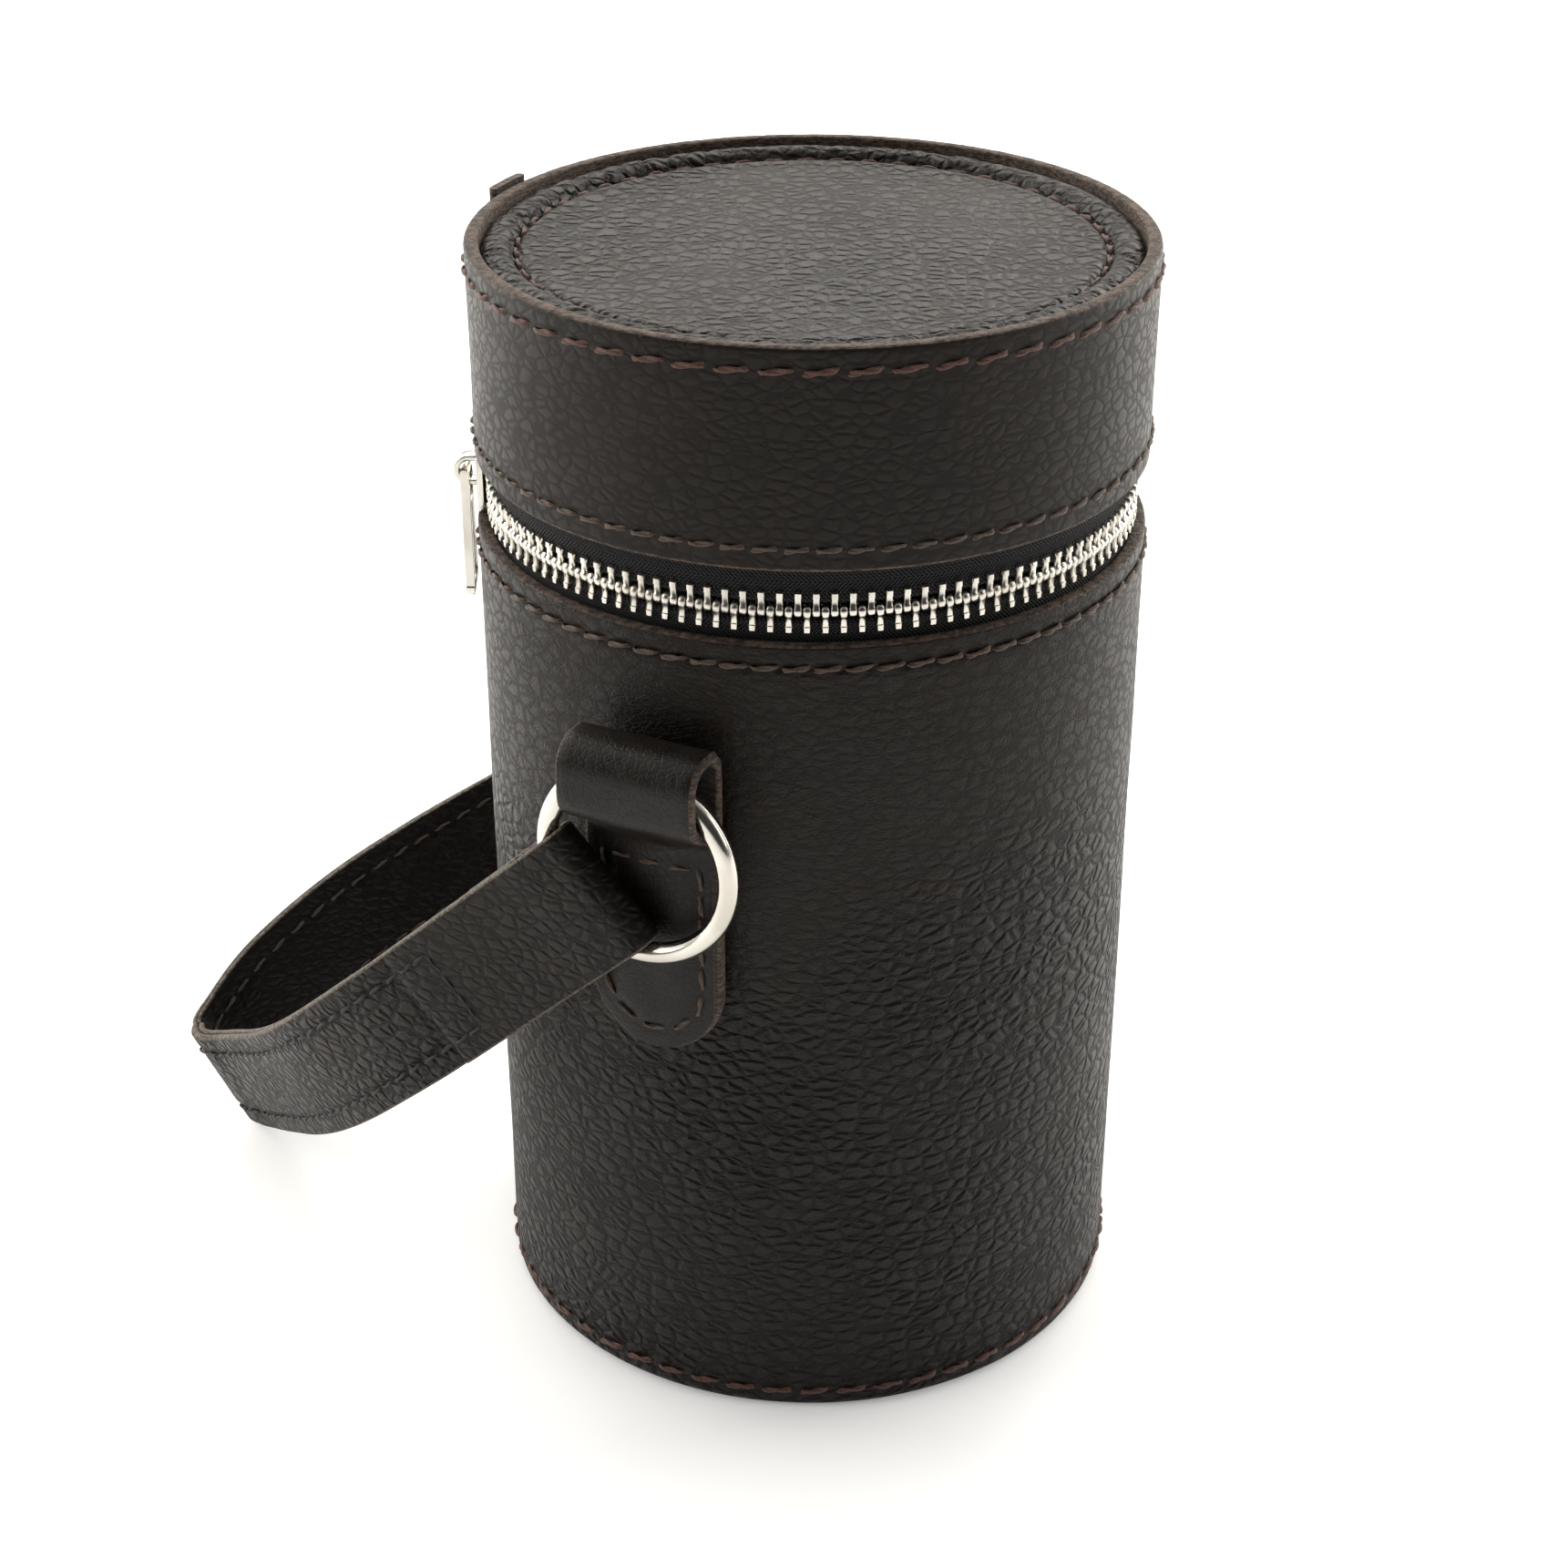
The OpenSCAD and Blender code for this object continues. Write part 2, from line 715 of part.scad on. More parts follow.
cup_wall_leather();
cup_stiffener();
cup_lining();
base_leather();
base_board();
base_lining();
base_stitching();
cup_zip_stitching();
zip_tape_lower();
zip_teeth_lower();
zip_top_stop_lower();
zip_bottom_stop();
wall_seam_strip();
hinge_strip();
keeper_left();
keeper_right();
keeper_stitching_left();
keeper_stitching_right();
lid_wall_leather();
lid_stiffener();
lid_lining();
lid_top_leather();
lid_top_board();
lid_top_lining();
lid_rim_stitching();
lid_top_stitching();
lid_zip_stitching();
zip_tape_upper();
zip_teeth_upper();
zip_top_stop_upper();
lid_seam_strip();
slider_body();
slider_crown();
zip_pull();
ring_left();
ring_right();
strap_outer();
strap_lining();
strap_end_left();
strap_end_right();
strap_stitching();
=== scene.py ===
"""Looks of a round leather dice cup case with a zip round its lid, ring keepers and a side strap.

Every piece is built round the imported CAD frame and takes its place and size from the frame's nodes.
"""

import math
import random

import bmesh
import bpy
import numpy as np
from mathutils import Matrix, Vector, noise


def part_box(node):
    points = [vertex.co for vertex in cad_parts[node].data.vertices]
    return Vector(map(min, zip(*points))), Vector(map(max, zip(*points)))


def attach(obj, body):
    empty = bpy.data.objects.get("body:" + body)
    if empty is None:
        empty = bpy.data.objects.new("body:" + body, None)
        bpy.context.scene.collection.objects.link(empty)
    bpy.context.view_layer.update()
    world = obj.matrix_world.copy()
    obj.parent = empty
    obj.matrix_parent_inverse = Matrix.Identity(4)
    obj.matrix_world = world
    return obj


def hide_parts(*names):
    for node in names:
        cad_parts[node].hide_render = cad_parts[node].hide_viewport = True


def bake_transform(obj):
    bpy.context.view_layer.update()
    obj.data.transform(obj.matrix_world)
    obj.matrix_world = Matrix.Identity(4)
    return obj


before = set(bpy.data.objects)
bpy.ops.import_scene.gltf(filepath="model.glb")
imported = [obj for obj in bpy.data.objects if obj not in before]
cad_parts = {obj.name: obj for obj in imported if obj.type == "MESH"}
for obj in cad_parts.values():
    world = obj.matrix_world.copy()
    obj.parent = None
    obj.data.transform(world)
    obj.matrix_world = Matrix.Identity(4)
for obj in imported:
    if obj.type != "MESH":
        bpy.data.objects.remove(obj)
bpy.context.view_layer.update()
random.seed(11)

MM = 0.001
TURN = 2 * math.pi
GLUE = 0.05 * MM  # the gap left between two glued layers


# ---------------------------------------------------------------- camera, light, floor

# horizontal directions of the view: to the camera's right, and away from the camera
VIEW_RIGHT = Vector((0.4322, -0.9018, 0))
VIEW_AWAY = Vector((0.9018, 0.4322, 0))
CAMERA_AT = Vector((-0.3522, -0.1643, 0.2933))
CAMERA_FORWARD = Vector((0.79266, 0.3799, -0.4769))
CAMERA_LENS = 65.47


def make_camera():
    data = bpy.data.cameras.new("camera")
    data.lens = CAMERA_LENS
    data.sensor_width = 36
    data.clip_start = 0.01
    camera = bpy.data.objects.new("camera", data)
    camera.location = CAMERA_AT
    camera.rotation_mode = "QUATERNION"
    camera.rotation_quaternion = CAMERA_FORWARD.to_track_quat("-Z", "Y")
    bpy.context.collection.objects.link(camera)
    bpy.context.scene.camera = camera


def area_light(name, right, away, up, width, height, watts, target_z=0.09):
    """A soft rectangular lamp, placed by its distance to the right of, behind and above the case."""
    data = bpy.data.lights.new(name, "AREA")
    data.shape = "RECTANGLE"
    data.size = width
    data.size_y = height
    data.energy = watts
    data.color = (1.0, 0.955, 0.88)
    lamp = bpy.data.objects.new(name, data)
    lamp.location = VIEW_RIGHT * right + VIEW_AWAY * away + Vector((0, 0, up))
    aim = Vector((0, 0, target_z)) - lamp.location
    lamp.rotation_mode = "QUATERNION"
    lamp.rotation_quaternion = aim.to_track_quat("-Z", "Y")
    bpy.context.collection.objects.link(lamp)


def make_studio():
    area_light("back_left", -0.75, 0.60, 0.40, 1.0, 1.1, 13)
    area_light("back_right", 0.75, 0.62, 0.40, 1.0, 1.1, 13)
    area_light("back_top", 0.05, 0.85, 0.75, 1.0, 0.7, 6, 0.16)
    area_light("overhead", -0.10, 0.05, 0.95, 0.5, 0.5, 1.2, 0.17)
    area_light("front_left", -0.80, -0.20, 0.45, 0.35, 0.5, 1.5)
    area_light("front_right", 0.85, -0.25, 0.45, 0.30, 0.5, 0.8)
    world = bpy.data.worlds.new("studio")
    world.use_nodes = True
    tree = world.node_tree
    place = tree.nodes.new("ShaderNodeTexCoord")
    facing = tree.nodes.new("ShaderNodeVectorMath")
    facing.operation = "DOT_PRODUCT"
    facing.inputs[1].default_value = VIEW_AWAY
    bright = tree.nodes.new("ShaderNodeMapRange")
    bright.interpolation_type = "SMOOTHSTEP"
    bright.inputs["From Min"].default_value = -0.75
    bright.inputs["From Max"].default_value = 0.25
    bright.inputs["To Min"].default_value = 0.05
    bright.inputs["To Max"].default_value = 0.80
    tree.links.new(place.outputs["Generated"], facing.inputs[0])
    tree.links.new(facing.outputs["Value"], bright.inputs["Value"])
    tree.links.new(bright.outputs["Result"], tree.nodes["Background"].inputs["Strength"])
    tree.nodes["Background"].inputs["Color"].default_value = (1, 1, 1, 1)
    bpy.context.scene.world = world
    bpy.context.scene.view_settings.view_transform = "Standard"


# ---------------------------------------------------------------- node materials


class Shade:
    """A procedural material: short calls to add nodes, feed them and read their outputs."""

    def __init__(self, name, roughness, metallic=0.0):
        self.material = bpy.data.materials.new(name)
        self.material.use_nodes = True
        self.tree = self.material.node_tree
        self.shader = self.tree.nodes["Principled BSDF"]
        self.shader.inputs["Metallic"].default_value = metallic
        self.shader.inputs["Roughness"].default_value = roughness
        self.place = self.add("ShaderNodeTexCoord").outputs["Object"]

    def feed(self, socket, value):
        if isinstance(value, bpy.types.NodeSocket):
            self.tree.links.new(value, socket)
        else:
            socket.default_value = value

    def add(self, kind, **settings):
        node = self.tree.nodes.new(kind)
        for key, value in settings.items():
            setattr(node, key, value)
        return node

    def stretched(self, scale):
        node = self.add("ShaderNodeMapping")
        self.feed(node.inputs["Vector"], self.place)
        node.inputs["Scale"].default_value = scale
        return node.outputs["Vector"]

    def noise(self, scale, detail=2.0, vector=None, output="Fac"):
        node = self.add("ShaderNodeTexNoise")
        self.feed(node.inputs["Vector"], vector or self.place)
        node.inputs["Scale"].default_value = scale
        node.inputs["Detail"].default_value = detail
        return node.outputs[output]

    def cells(self, scale, vector=None, feature="DISTANCE_TO_EDGE"):
        node = self.add("ShaderNodeTexVoronoi", feature=feature)
        self.feed(node.inputs["Vector"], vector or self.place)
        node.inputs["Scale"].default_value = scale
        return node.outputs["Distance"]

    def math(self, operation, a, b=0.0, clamp=False):
        node = self.add("ShaderNodeMath", operation=operation, use_clamp=clamp)
        self.feed(node.inputs[0], a)
        self.feed(node.inputs[1], b)
        return node.outputs[0]

    def ranged(self, value, low, high, out_low=0.0, out_high=1.0, smooth=True):
        node = self.add("ShaderNodeMapRange", interpolation_type="SMOOTHSTEP" if smooth else "LINEAR")
        for key, item in (("Value", value), ("From Min", low), ("From Max", high),
                          ("To Min", out_low), ("To Max", out_high)):
            self.feed(node.inputs[key], item)
        return node.outputs["Result"]

    def blended(self, amount, a, b):
        """Colour a where amount is 0, colour b where it is 1."""
        node = self.add("ShaderNodeMix", data_type="RGBA")
        self.feed(node.inputs["Factor"], amount)
        self.feed(node.inputs[6], a)
        self.feed(node.inputs[7], b)
        return node.outputs[2]

    def warped(self, vector, scale, amount):
        """The vector pushed about by a slow noise, so that cells lose their straight sides."""
        shifted = self.add("ShaderNodeVectorMath", operation="SUBTRACT")
        self.feed(shifted.inputs[0], self.noise(scale, 2.0, vector, "Color"))
        shifted.inputs[1].default_value = (0.5, 0.5, 0.5)
        scaled = self.add("ShaderNodeVectorMath", operation="SCALE")
        self.feed(scaled.inputs[0], shifted.outputs[0])
        scaled.inputs["Scale"].default_value = amount
        total = self.add("ShaderNodeVectorMath", operation="ADD")
        self.feed(total.inputs[0], vector)
        self.feed(total.inputs[1], scaled.outputs[0])
        return total.outputs[0]

    def bump(self, height, depth, strength=1.0):
        node = self.add("ShaderNodeBump")
        node.inputs["Strength"].default_value = strength
        node.inputs["Distance"].default_value = depth
        self.feed(node.inputs["Height"], height)
        self.tree.links.new(node.outputs["Normal"], self.shader.inputs["Normal"])

    def colour(self, value):
        self.feed(self.shader.inputs["Base Color"], value)

    def rough(self, value):
        self.feed(self.shader.inputs["Roughness"], value)


def grained_leather(name, pebble, depth, smooth_above=None, tint=1.0, valleys=1.0):
    """Dark leather with soft pebbles about pebble metres across, finer creases and pores.

    smooth_above is a height over which the pebbles fade, as they do where the hide is stretched.
    """
    s = Shade(name, 0.45)
    flat = s.warped(s.stretched((1, 1, 1.65)), 0.42 / pebble, 0.65 * pebble)
    flat = s.warped(flat, 1.7 / pebble, 0.30 * pebble)
    edge = s.cells(1 / pebble, flat)
    pebbles = s.ranged(edge, -0.03, 0.30)
    fine = s.cells(2.6 / pebble, s.warped(flat, 3.5 / pebble, 0.12 * pebble))
    creases = s.ranged(fine, 0.0, 0.13)
    pores = s.noise(4200, 2.0)
    patches = s.ranged(s.noise(24, 1.0), 0.34, 0.62, 0.45, 1.0)
    if smooth_above is not None:
        height = s.add("ShaderNodeSeparateXYZ")
        s.feed(height.inputs[0], s.place)
        wander = s.math("ADD", height.outputs["Z"], s.math("MULTIPLY", s.noise(16, 1.0), 0.05))
        fade = s.ranged(wander, smooth_above, smooth_above + 0.05, 1.0, 0.15)
        patches = s.math("MULTIPLY", patches, fade)
    relief = s.math("MULTIPLY", pebbles, patches)
    relief = s.math("ADD", relief, s.math("MULTIPLY", creases, 0.08))
    relief = s.math("ADD", relief, s.math("MULTIPLY", pores, 0.05))
    s.bump(relief, depth)
    valley = (0.0034 * tint, 0.0023 * tint, 0.0017 * tint, 1)
    crown = (0.0098 * tint, 0.0068 * tint, 0.0048 * tint, 1)
    worn = (0.0150 * tint, 0.0106 * tint, 0.0076 * tint, 1)
    hollow = s.math("MULTIPLY", s.ranged(edge, 0.0, 0.16, 1.0, 0.0), patches)
    base = s.blended(s.math("MULTIPLY", hollow, valleys), crown, valley)
    s.colour(s.blended(s.ranged(s.noise(60, 3.0), 0.5, 0.75, 0.0, 0.6), base, worn))
    s.rough(s.ranged(s.math("ADD", pebbles, s.noise(35, 2.0)), 0.3, 1.5, 0.60, 0.42))
    s.shader.inputs["Specular IOR Level"].default_value = 0.20
    return s.material


def smooth_leather(name):
    """Close, fine leather with hair creases and pores only."""
    s = Shade(name, 0.5)
    creases = s.ranged(s.cells(900, s.warped(s.place, 500, 0.0012)), 0.0, 0.12)
    pores = s.noise(3800, 3.0)
    wrinkles = s.noise(160, 3.0, s.stretched((1, 1, 2.2)))
    relief = s.math("ADD", s.math("MULTIPLY", creases, 0.22), s.math("MULTIPLY", pores, 0.16))
    relief = s.math("ADD", relief, s.math("MULTIPLY", wrinkles, 0.9))
    s.bump(relief, 0.00013)
    base = s.blended(creases, (0.0055, 0.0040, 0.0032, 1), (0.0115, 0.0086, 0.0068, 1))
    s.colour(s.blended(s.ranged(s.noise(90, 2.0), 0.45, 0.7, 0.0, 0.5), base, (0.0175, 0.0132, 0.0105, 1)))
    s.rough(s.ranged(s.noise(220, 2.0), 0.3, 0.7, 0.34, 0.46))
    s.shader.inputs["Specular IOR Level"].default_value = 0.22
    return s.material


def cut_edge(name, dark, light):
    """Bare fibres of a cut leather edge."""
    s = Shade(name, 0.8)
    fibres = s.noise(900, 4.0, s.stretched((1, 1, 3)))
    s.bump(s.math("ADD", fibres, s.math("MULTIPLY", s.noise(2600, 2.0), 0.5)), 0.00035)
    s.colour(s.blended(s.ranged(fibres, 0.36, 0.66), dark, light))
    return s.material


def thread_material(name, dark, light):
    s = Shade(name, 0.62)
    fibres = s.noise(5200, 3.0, s.stretched((1, 1, 2)))
    s.bump(fibres, 0.00012)
    s.colour(s.blended(s.ranged(fibres, 0.3, 0.7), dark, light))
    s.shader.inputs["Sheen Weight"].default_value = 0.08
    return s.material


def woven_tape(name):
    """Black zip tape: herringbone ribs that change direction every few threads. Sizes are in mm."""
    tape_r, turn_every, rib, pick = 46.35, 1.5, 0.62, 0.45
    s = Shade(name, 0.85)
    split = s.add("ShaderNodeSeparateXYZ")
    s.feed(split.inputs[0], s.place)
    angle = s.math("ARCTAN2", split.outputs["Y"], split.outputs["X"])
    along = s.math("MULTIPLY", angle, tape_r)
    up = s.math("MULTIPLY", split.outputs["Z"], 1000.0)
    chevron = s.math("PINGPONG", up, turn_every)
    ribs = s.math("SINE", s.math("MULTIPLY", s.math("ADD", along, chevron), TURN / rib))
    picks = s.math("SINE", s.math("MULTIPLY", up, TURN / pick))
    weave = s.math("ADD", s.math("MULTIPLY", ribs, 0.6), s.math("MULTIPLY", picks, 0.25))
    weave = s.math("ADD", weave, s.math("MULTIPLY", s.noise(3000, 2.0), 0.6))
    s.bump(weave, 0.00016)
    s.colour(s.blended(s.ranged(weave, -0.5, 1.1), (0.0008, 0.0008, 0.0010, 1), (0.0360, 0.0360, 0.0380, 1)))
    s.shader.inputs["Specular IOR Level"].default_value = 0.25
    return s.material


def nickel(name, roughness):
    """Polished nickel plate with soft smears and hairline scratches."""
    s = Shade(name, roughness, 1.0)
    smears = s.noise(120, 3.0)
    scratches = s.noise(900, 3.0, s.stretched((1, 7, 1)))
    s.bump(s.math("ADD", scratches, s.math("MULTIPLY", smears, 1.5)), 0.000012)
    s.colour(s.blended(s.ranged(smears, 0.35, 0.7), (0.70, 0.67, 0.61, 1), (0.56, 0.53, 0.47, 1)))
    s.rough(s.ranged(smears, 0.3, 0.7, roughness * 0.7, roughness * 1.5))
    return s.material


def pile_cloth(name):
    s = Shade(name, 0.95)
    pile = s.noise(2400, 3.0)
    s.bump(s.math("ADD", pile, s.noise(400, 2.0)), 0.00025)
    s.colour(s.blended(s.ranged(pile, 0.35, 0.65), (0.008, 0.0075, 0.0075, 1), (0.026, 0.024, 0.023, 1)))
    s.shader.inputs["Sheen Weight"].default_value = 0.4
    return s.material


def pulp_board(name):
    s = Shade(name, 0.9)
    specks = s.noise(700, 4.0)
    s.bump(specks, 0.0002)
    s.colour(s.blended(s.ranged(specks, 0.3, 0.7), (0.26, 0.23, 0.20, 1), (0.46, 0.42, 0.37, 1)))
    return s.material


def studio_floor(name):
    s = Shade(name, 0.6)
    s.colour(s.blended(s.noise(3, 1.0), (0.88, 0.88, 0.88, 1), (0.93, 0.93, 0.93, 1)))
    s.shader.inputs["Emission Color"].default_value = (1, 1, 1, 1)
    s.shader.inputs["Emission Strength"].default_value = 0.26
    return s.material


WALL_HIDE = grained_leather("wall_hide", 3.1 * MM, 0.60 * MM, smooth_above=0.080)
LID_HIDE = grained_leather("lid_hide", 2.6 * MM, 0.07 * MM, valleys=0.3)
# the lid top's hide is tinted 1.35 times lighter than the wall's: painted sheen where light falls on the
# upward-facing top; its grain size and depth are its own
TOP_HIDE_PAINTED_SHEEN = grained_leather("top_hide_painted_sheen", 2.4 * MM, 0.50 * MM, tint=1.35)
STRAP_HIDE = grained_leather("strap_hide", 2.9 * MM, 0.50 * MM, tint=1.2)
KEEPER_HIDE = smooth_leather("keeper_hide")
TAIL_HIDE = grained_leather("tail_hide", 2.6 * MM, 0.24 * MM, valleys=0.7)
BACK_HIDE = grained_leather("back_hide", 2.2 * MM, 0.22 * MM, tint=0.8)
RIM_EDGE = cut_edge("rim_edge", (0.022, 0.014, 0.010, 1), (0.105, 0.068, 0.047, 1))
DARK_EDGE = cut_edge("dark_edge", (0.012, 0.009, 0.008, 1), (0.046, 0.033, 0.026, 1))
STRAP_EDGE = cut_edge("strap_edge", (0.030, 0.023, 0.018, 1), (0.130, 0.105, 0.082, 1))
RED_THREAD = thread_material("red_brown_thread", (0.030, 0.0105, 0.0060, 1), (0.150, 0.058, 0.034, 1))
DUN_THREAD = thread_material("dun_thread", (0.030, 0.0180, 0.0110, 1), (0.125, 0.078, 0.048, 1))
BLACK_THREAD = thread_material("black_thread", (0.0015, 0.0013, 0.0012, 1), (0.0085, 0.0068, 0.0058, 1))
TAPE = woven_tape("woven_tape")
BRIGHT = nickel("bright_nickel", 0.13)
TOOTH_METAL = nickel("tooth_nickel", 0.22)
CLOTH = pile_cloth("lining_pile")
BOARD = pulp_board("pulp_board")


# ---------------------------------------------------------------- reading the frame


def node_points(node):
    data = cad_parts[node].data
    co = np.empty(len(data.vertices) * 3, np.float32)
    data.vertices.foreach_get("co", co)
    return co.reshape(-1, 3).astype(float)


def round_size(node):
    """Inner and outer radius and lowest and highest height of a round CAD node."""
    co = node_points(node)
    r = np.hypot(co[:, 0], co[:, 1])
    return r.min(), r.max(), co[:, 2].min(), co[:, 2].max()


def node_solids(node):
    """The separate solids of a CAD node, each as an array of its corners, in a fixed order."""
    bm = bmesh.new()
    bm.from_mesh(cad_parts[node].data)
    bmesh.ops.remove_doubles(bm, verts=bm.verts, dist=0.003 * MM)
    found, seen = [], set()
    for first in bm.verts:
        if first in seen:
            continue
        group, queue = [], [first]
        seen.add(first)
        while queue:
            vert = queue.pop()
            group.append(tuple(vert.co))
            for edge in vert.link_edges:
                other = edge.other_vert(vert)
                if other not in seen:
                    seen.add(other)
                    queue.append(other)
        found.append(np.array(group))
    bm.free()

    def order(co):
        centre = co.mean(0)
        return round(math.atan2(centre[1], centre[0]), 3), round(centre[2], 4)

    return sorted(found, key=order)


def radial(centre):
    return Vector((centre.x, centre.y, 0))


def away_from_loop(centre):
    return centre - Vector((0, 50 * MM, 50 * MM))


def upward(_):
    return Vector((0, 0, 1))


def stitch_frames(node, outward):
    """Middle, direction, outward direction and length of each stitch block of a CAD node."""
    frames = []
    for co in node_solids(node):
        centre = co.mean(0)
        axes = np.linalg.svd(co - centre)[2]
        along, out = Vector(axes[0]), Vector(axes[2])
        if out.dot(outward(Vector(centre))) < 0:
            out = -out
        lead = Vector((0, 0, 1)).cross(out)
        if lead.length < 0.3:
            lead = Vector((-centre[1], centre[0], 0))
        if along.dot(lead) < 0:
            along = -along
        reach = (co - centre) @ np.array(along)
        frames.append((Vector(centre), along, out, reach.max() - reach.min()))
    return frames


# ---------------------------------------------------------------- mesh building


def make_piece(name, verts, faces, materials, tags=None, body=None, stands_for=()):
    """A smooth mesh object from points and faces. tags gives the material number of each face."""
    mesh = bpy.data.meshes.new(name)
    mesh.from_pydata([tuple(v) for v in verts], [], faces)
    for material in materials:
        mesh.materials.append(material)
    if tags is not None:
        mesh.polygons.foreach_set("material_index", np.array(tags, np.int32))
    bm = bmesh.new()
    bm.from_mesh(mesh)
    bmesh.ops.remove_doubles(bm, verts=bm.verts, dist=0.001 * MM)
    bmesh.ops.recalc_face_normals(bm, faces=bm.faces)
    bm.to_mesh(mesh)
    bm.free()
    mesh.shade_smooth()
    mesh.set_sharp_from_angle(angle=math.radians(50))
    piece = bpy.data.objects.new(name, mesh)
    bpy.context.collection.objects.link(piece)
    if body:
        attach(piece, body)
    if stands_for:
        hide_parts(*stands_for)
    return piece


def revolved(outline, tags, angles, closed, dr=0.0, dz=0.0):
    """Turns a closed outline of (radius, height) about Z through the angles. dr and dz move single points."""
    outline = np.array(outline, float)
    n, m = len(angles), len(outline)
    r = outline[None, :, 0] + np.zeros((n, m)) + dr
    z = outline[None, :, 1] + np.zeros((n, m)) + dz
    turn = np.array(angles)[:, None]
    verts = np.stack([r * np.cos(turn), r * np.sin(turn), z], -1).reshape(-1, 3)
    faces, face_tags = [], []
    for i in range(n if closed else n - 1):
        k = (i + 1) % n
        for j in range(m):
            h = (j + 1) % m
            faces.append((i * m + j, k * m + j, k * m + h, i * m + h))
            face_tags.append(tags[j])
    if not closed:
        faces.append(tuple(range(m - 1, -1, -1)))
        faces.append(tuple(range((n - 1) * m, n * m)))
        face_tags += [tags[-1], tags[-1]]
    return verts, faces, face_tags


def turned_points(points, angles):
    """X, Y and Z of every point of the outline at every angle."""
    turn = np.array(angles)[:, None]
    x, y = points[None, :, 0] * np.cos(turn), points[None, :, 0] * np.sin(turn)
    return x, y, np.broadcast_to(points[None, :, 1], x.shape)


def arc(centre, radius, start, end, count):
    """Points of a circular arc in a plane, angles in degrees."""
    return [(centre[0] + radius * math.cos(math.radians(start + (end - start) * i / count)),
             centre[1] + radius * math.sin(math.radians(start + (end - start) * i / count)))
            for i in range(count + 1)]


def full_circle(count):
    return [TURN * i / count for i in range(count)]


def heights(low, high, rows, coarse=2.6 * MM, fine=0.42 * MM, reach=1.7 * MM):
    """Heights from low to high, close together near each row of stitches."""
    found, z = [low], low
    while True:
        step = fine if any(abs(z - row) < reach for row in rows) else coarse
        after = [row - reach for row in rows if z < row - reach]
        z = min([z + step] + after) if after else z + step
        if z > high - 0.3 * fine:
            break
        found.append(z)
    return found + [high]


def thread_dents(x, y, z, frames):
    """How deep the pulled thread presses the leather: a furrow under each stitch and a hole at each end."""
    depth = np.zeros_like(x)
    for centre, along, _, length in frames:
        near = np.abs(z - centre.z) < 3.5 * MM
        near &= np.abs(x - centre.x) + np.abs(y - centre.y) < 9 * MM
        if not near.any():
            continue
        px, py, pz = x[near] - centre.x, y[near] - centre.y, z[near] - centre.z
        run = px * along.x + py * along.y + pz * along.z
        off = np.sqrt(np.maximum(px * px + py * py + pz * pz - run * run, 0))
        half = length / 2
        past = np.maximum(np.abs(run) - half, 0)
        furrow = 0.26 * MM * np.exp(-(off / (0.75 * MM)) ** 2 - (past / (0.5 * MM)) ** 2)
        ends = (np.abs(run) - half - 0.15 * MM) ** 2 + off ** 2
        hole = 0.50 * MM * np.exp(-ends / (0.42 * MM) ** 2)
        depth[near] = np.maximum(depth[near], furrow + hole)
    return depth


def slow_noise(x, y, z, scale, seed=0.0):
    """Smooth noise from -1 to 1 at each point, its features about scale metres across."""
    x, y, z = np.broadcast_arrays(x, y, z)
    flat = zip(x.ravel() / scale, y.ravel() / scale, z.ravel() / scale)
    return np.array([noise.noise(Vector((a, b, c + seed))) for a, b, c in flat]).reshape(x.shape)


def leather_wall(name, body, node, stitch_rows, bottom_round, top_round, bottom_raw, hide):
    """Round leather wall: pulled in at its stitch rows, slightly uneven, with cut fibres at its edges."""
    r_in, r_out, low, high = round_size(node)
    frames = [f for row in stitch_rows for f in stitch_frames(row, radial)]
    rows = sorted({round(f[0].z, 5) for f in frames})
    inner_round = 0.35 * MM
    outline = arc((r_out - bottom_round, low + bottom_round), bottom_round, -90, 0, 5)
    tags = [1 if bottom_raw else 0] * 5
    climb = heights(low + bottom_round, high - top_round, rows)
    outline += [(r_out, z) for z in climb[1:-1]]
    tags += [0] * (len(climb) - 1)
    outline += arc((r_out - top_round, high - top_round), top_round, 0, 90, 4)
    tags += [0, 0, 1, 1, 1]
    outline += arc((r_in + inner_round, high - inner_round), inner_round, 90, 180, 2)
    tags += [1, 1]
    outline += [(r_in, high - 6 * MM), (r_in, (low + high) / 2), (r_in, low + 2 * MM)]
    tags += [1, 2, 2, 1]
    outline += arc((r_in + inner_round, low + inner_round), inner_round, 180, 270, 2)
    tags += [1, 1, 1]
    angles = full_circle(560)
    points = np.array(outline)
    x, y, z = turned_points(points, angles)
    outer = points[:, 0] > (r_in + r_out) / 2
    dent = thread_dents(x, y, z, frames)
    uneven = 0.11 * MM * (1 + slow_noise(x, y, z, 17 * MM)) + 0.03 * MM * (1 + slow_noise(x, y, z, 4 * MM, 9))
    dr = np.where(outer[None, :], -dent - uneven, 0)
    raw = np.array([i for i in range(len(outline)) if tags[i] == 1 and outline[i][1] > high - 0.6 * MM])
    dz = np.zeros_like(dr)
    if len(raw):
        fray = 0.09 * MM * slow_noise(x[:, raw], y[:, raw], z[:, raw], 1.3 * MM, 4)
        dz[:, raw] = -np.abs(fray)
    verts, faces, face_tags = revolved(outline, tags[: len(outline)], angles, True, dr, dz)
    make_piece(name, verts, faces, [hide, RIM_EDGE, DARK_EDGE], face_tags, body, [node])


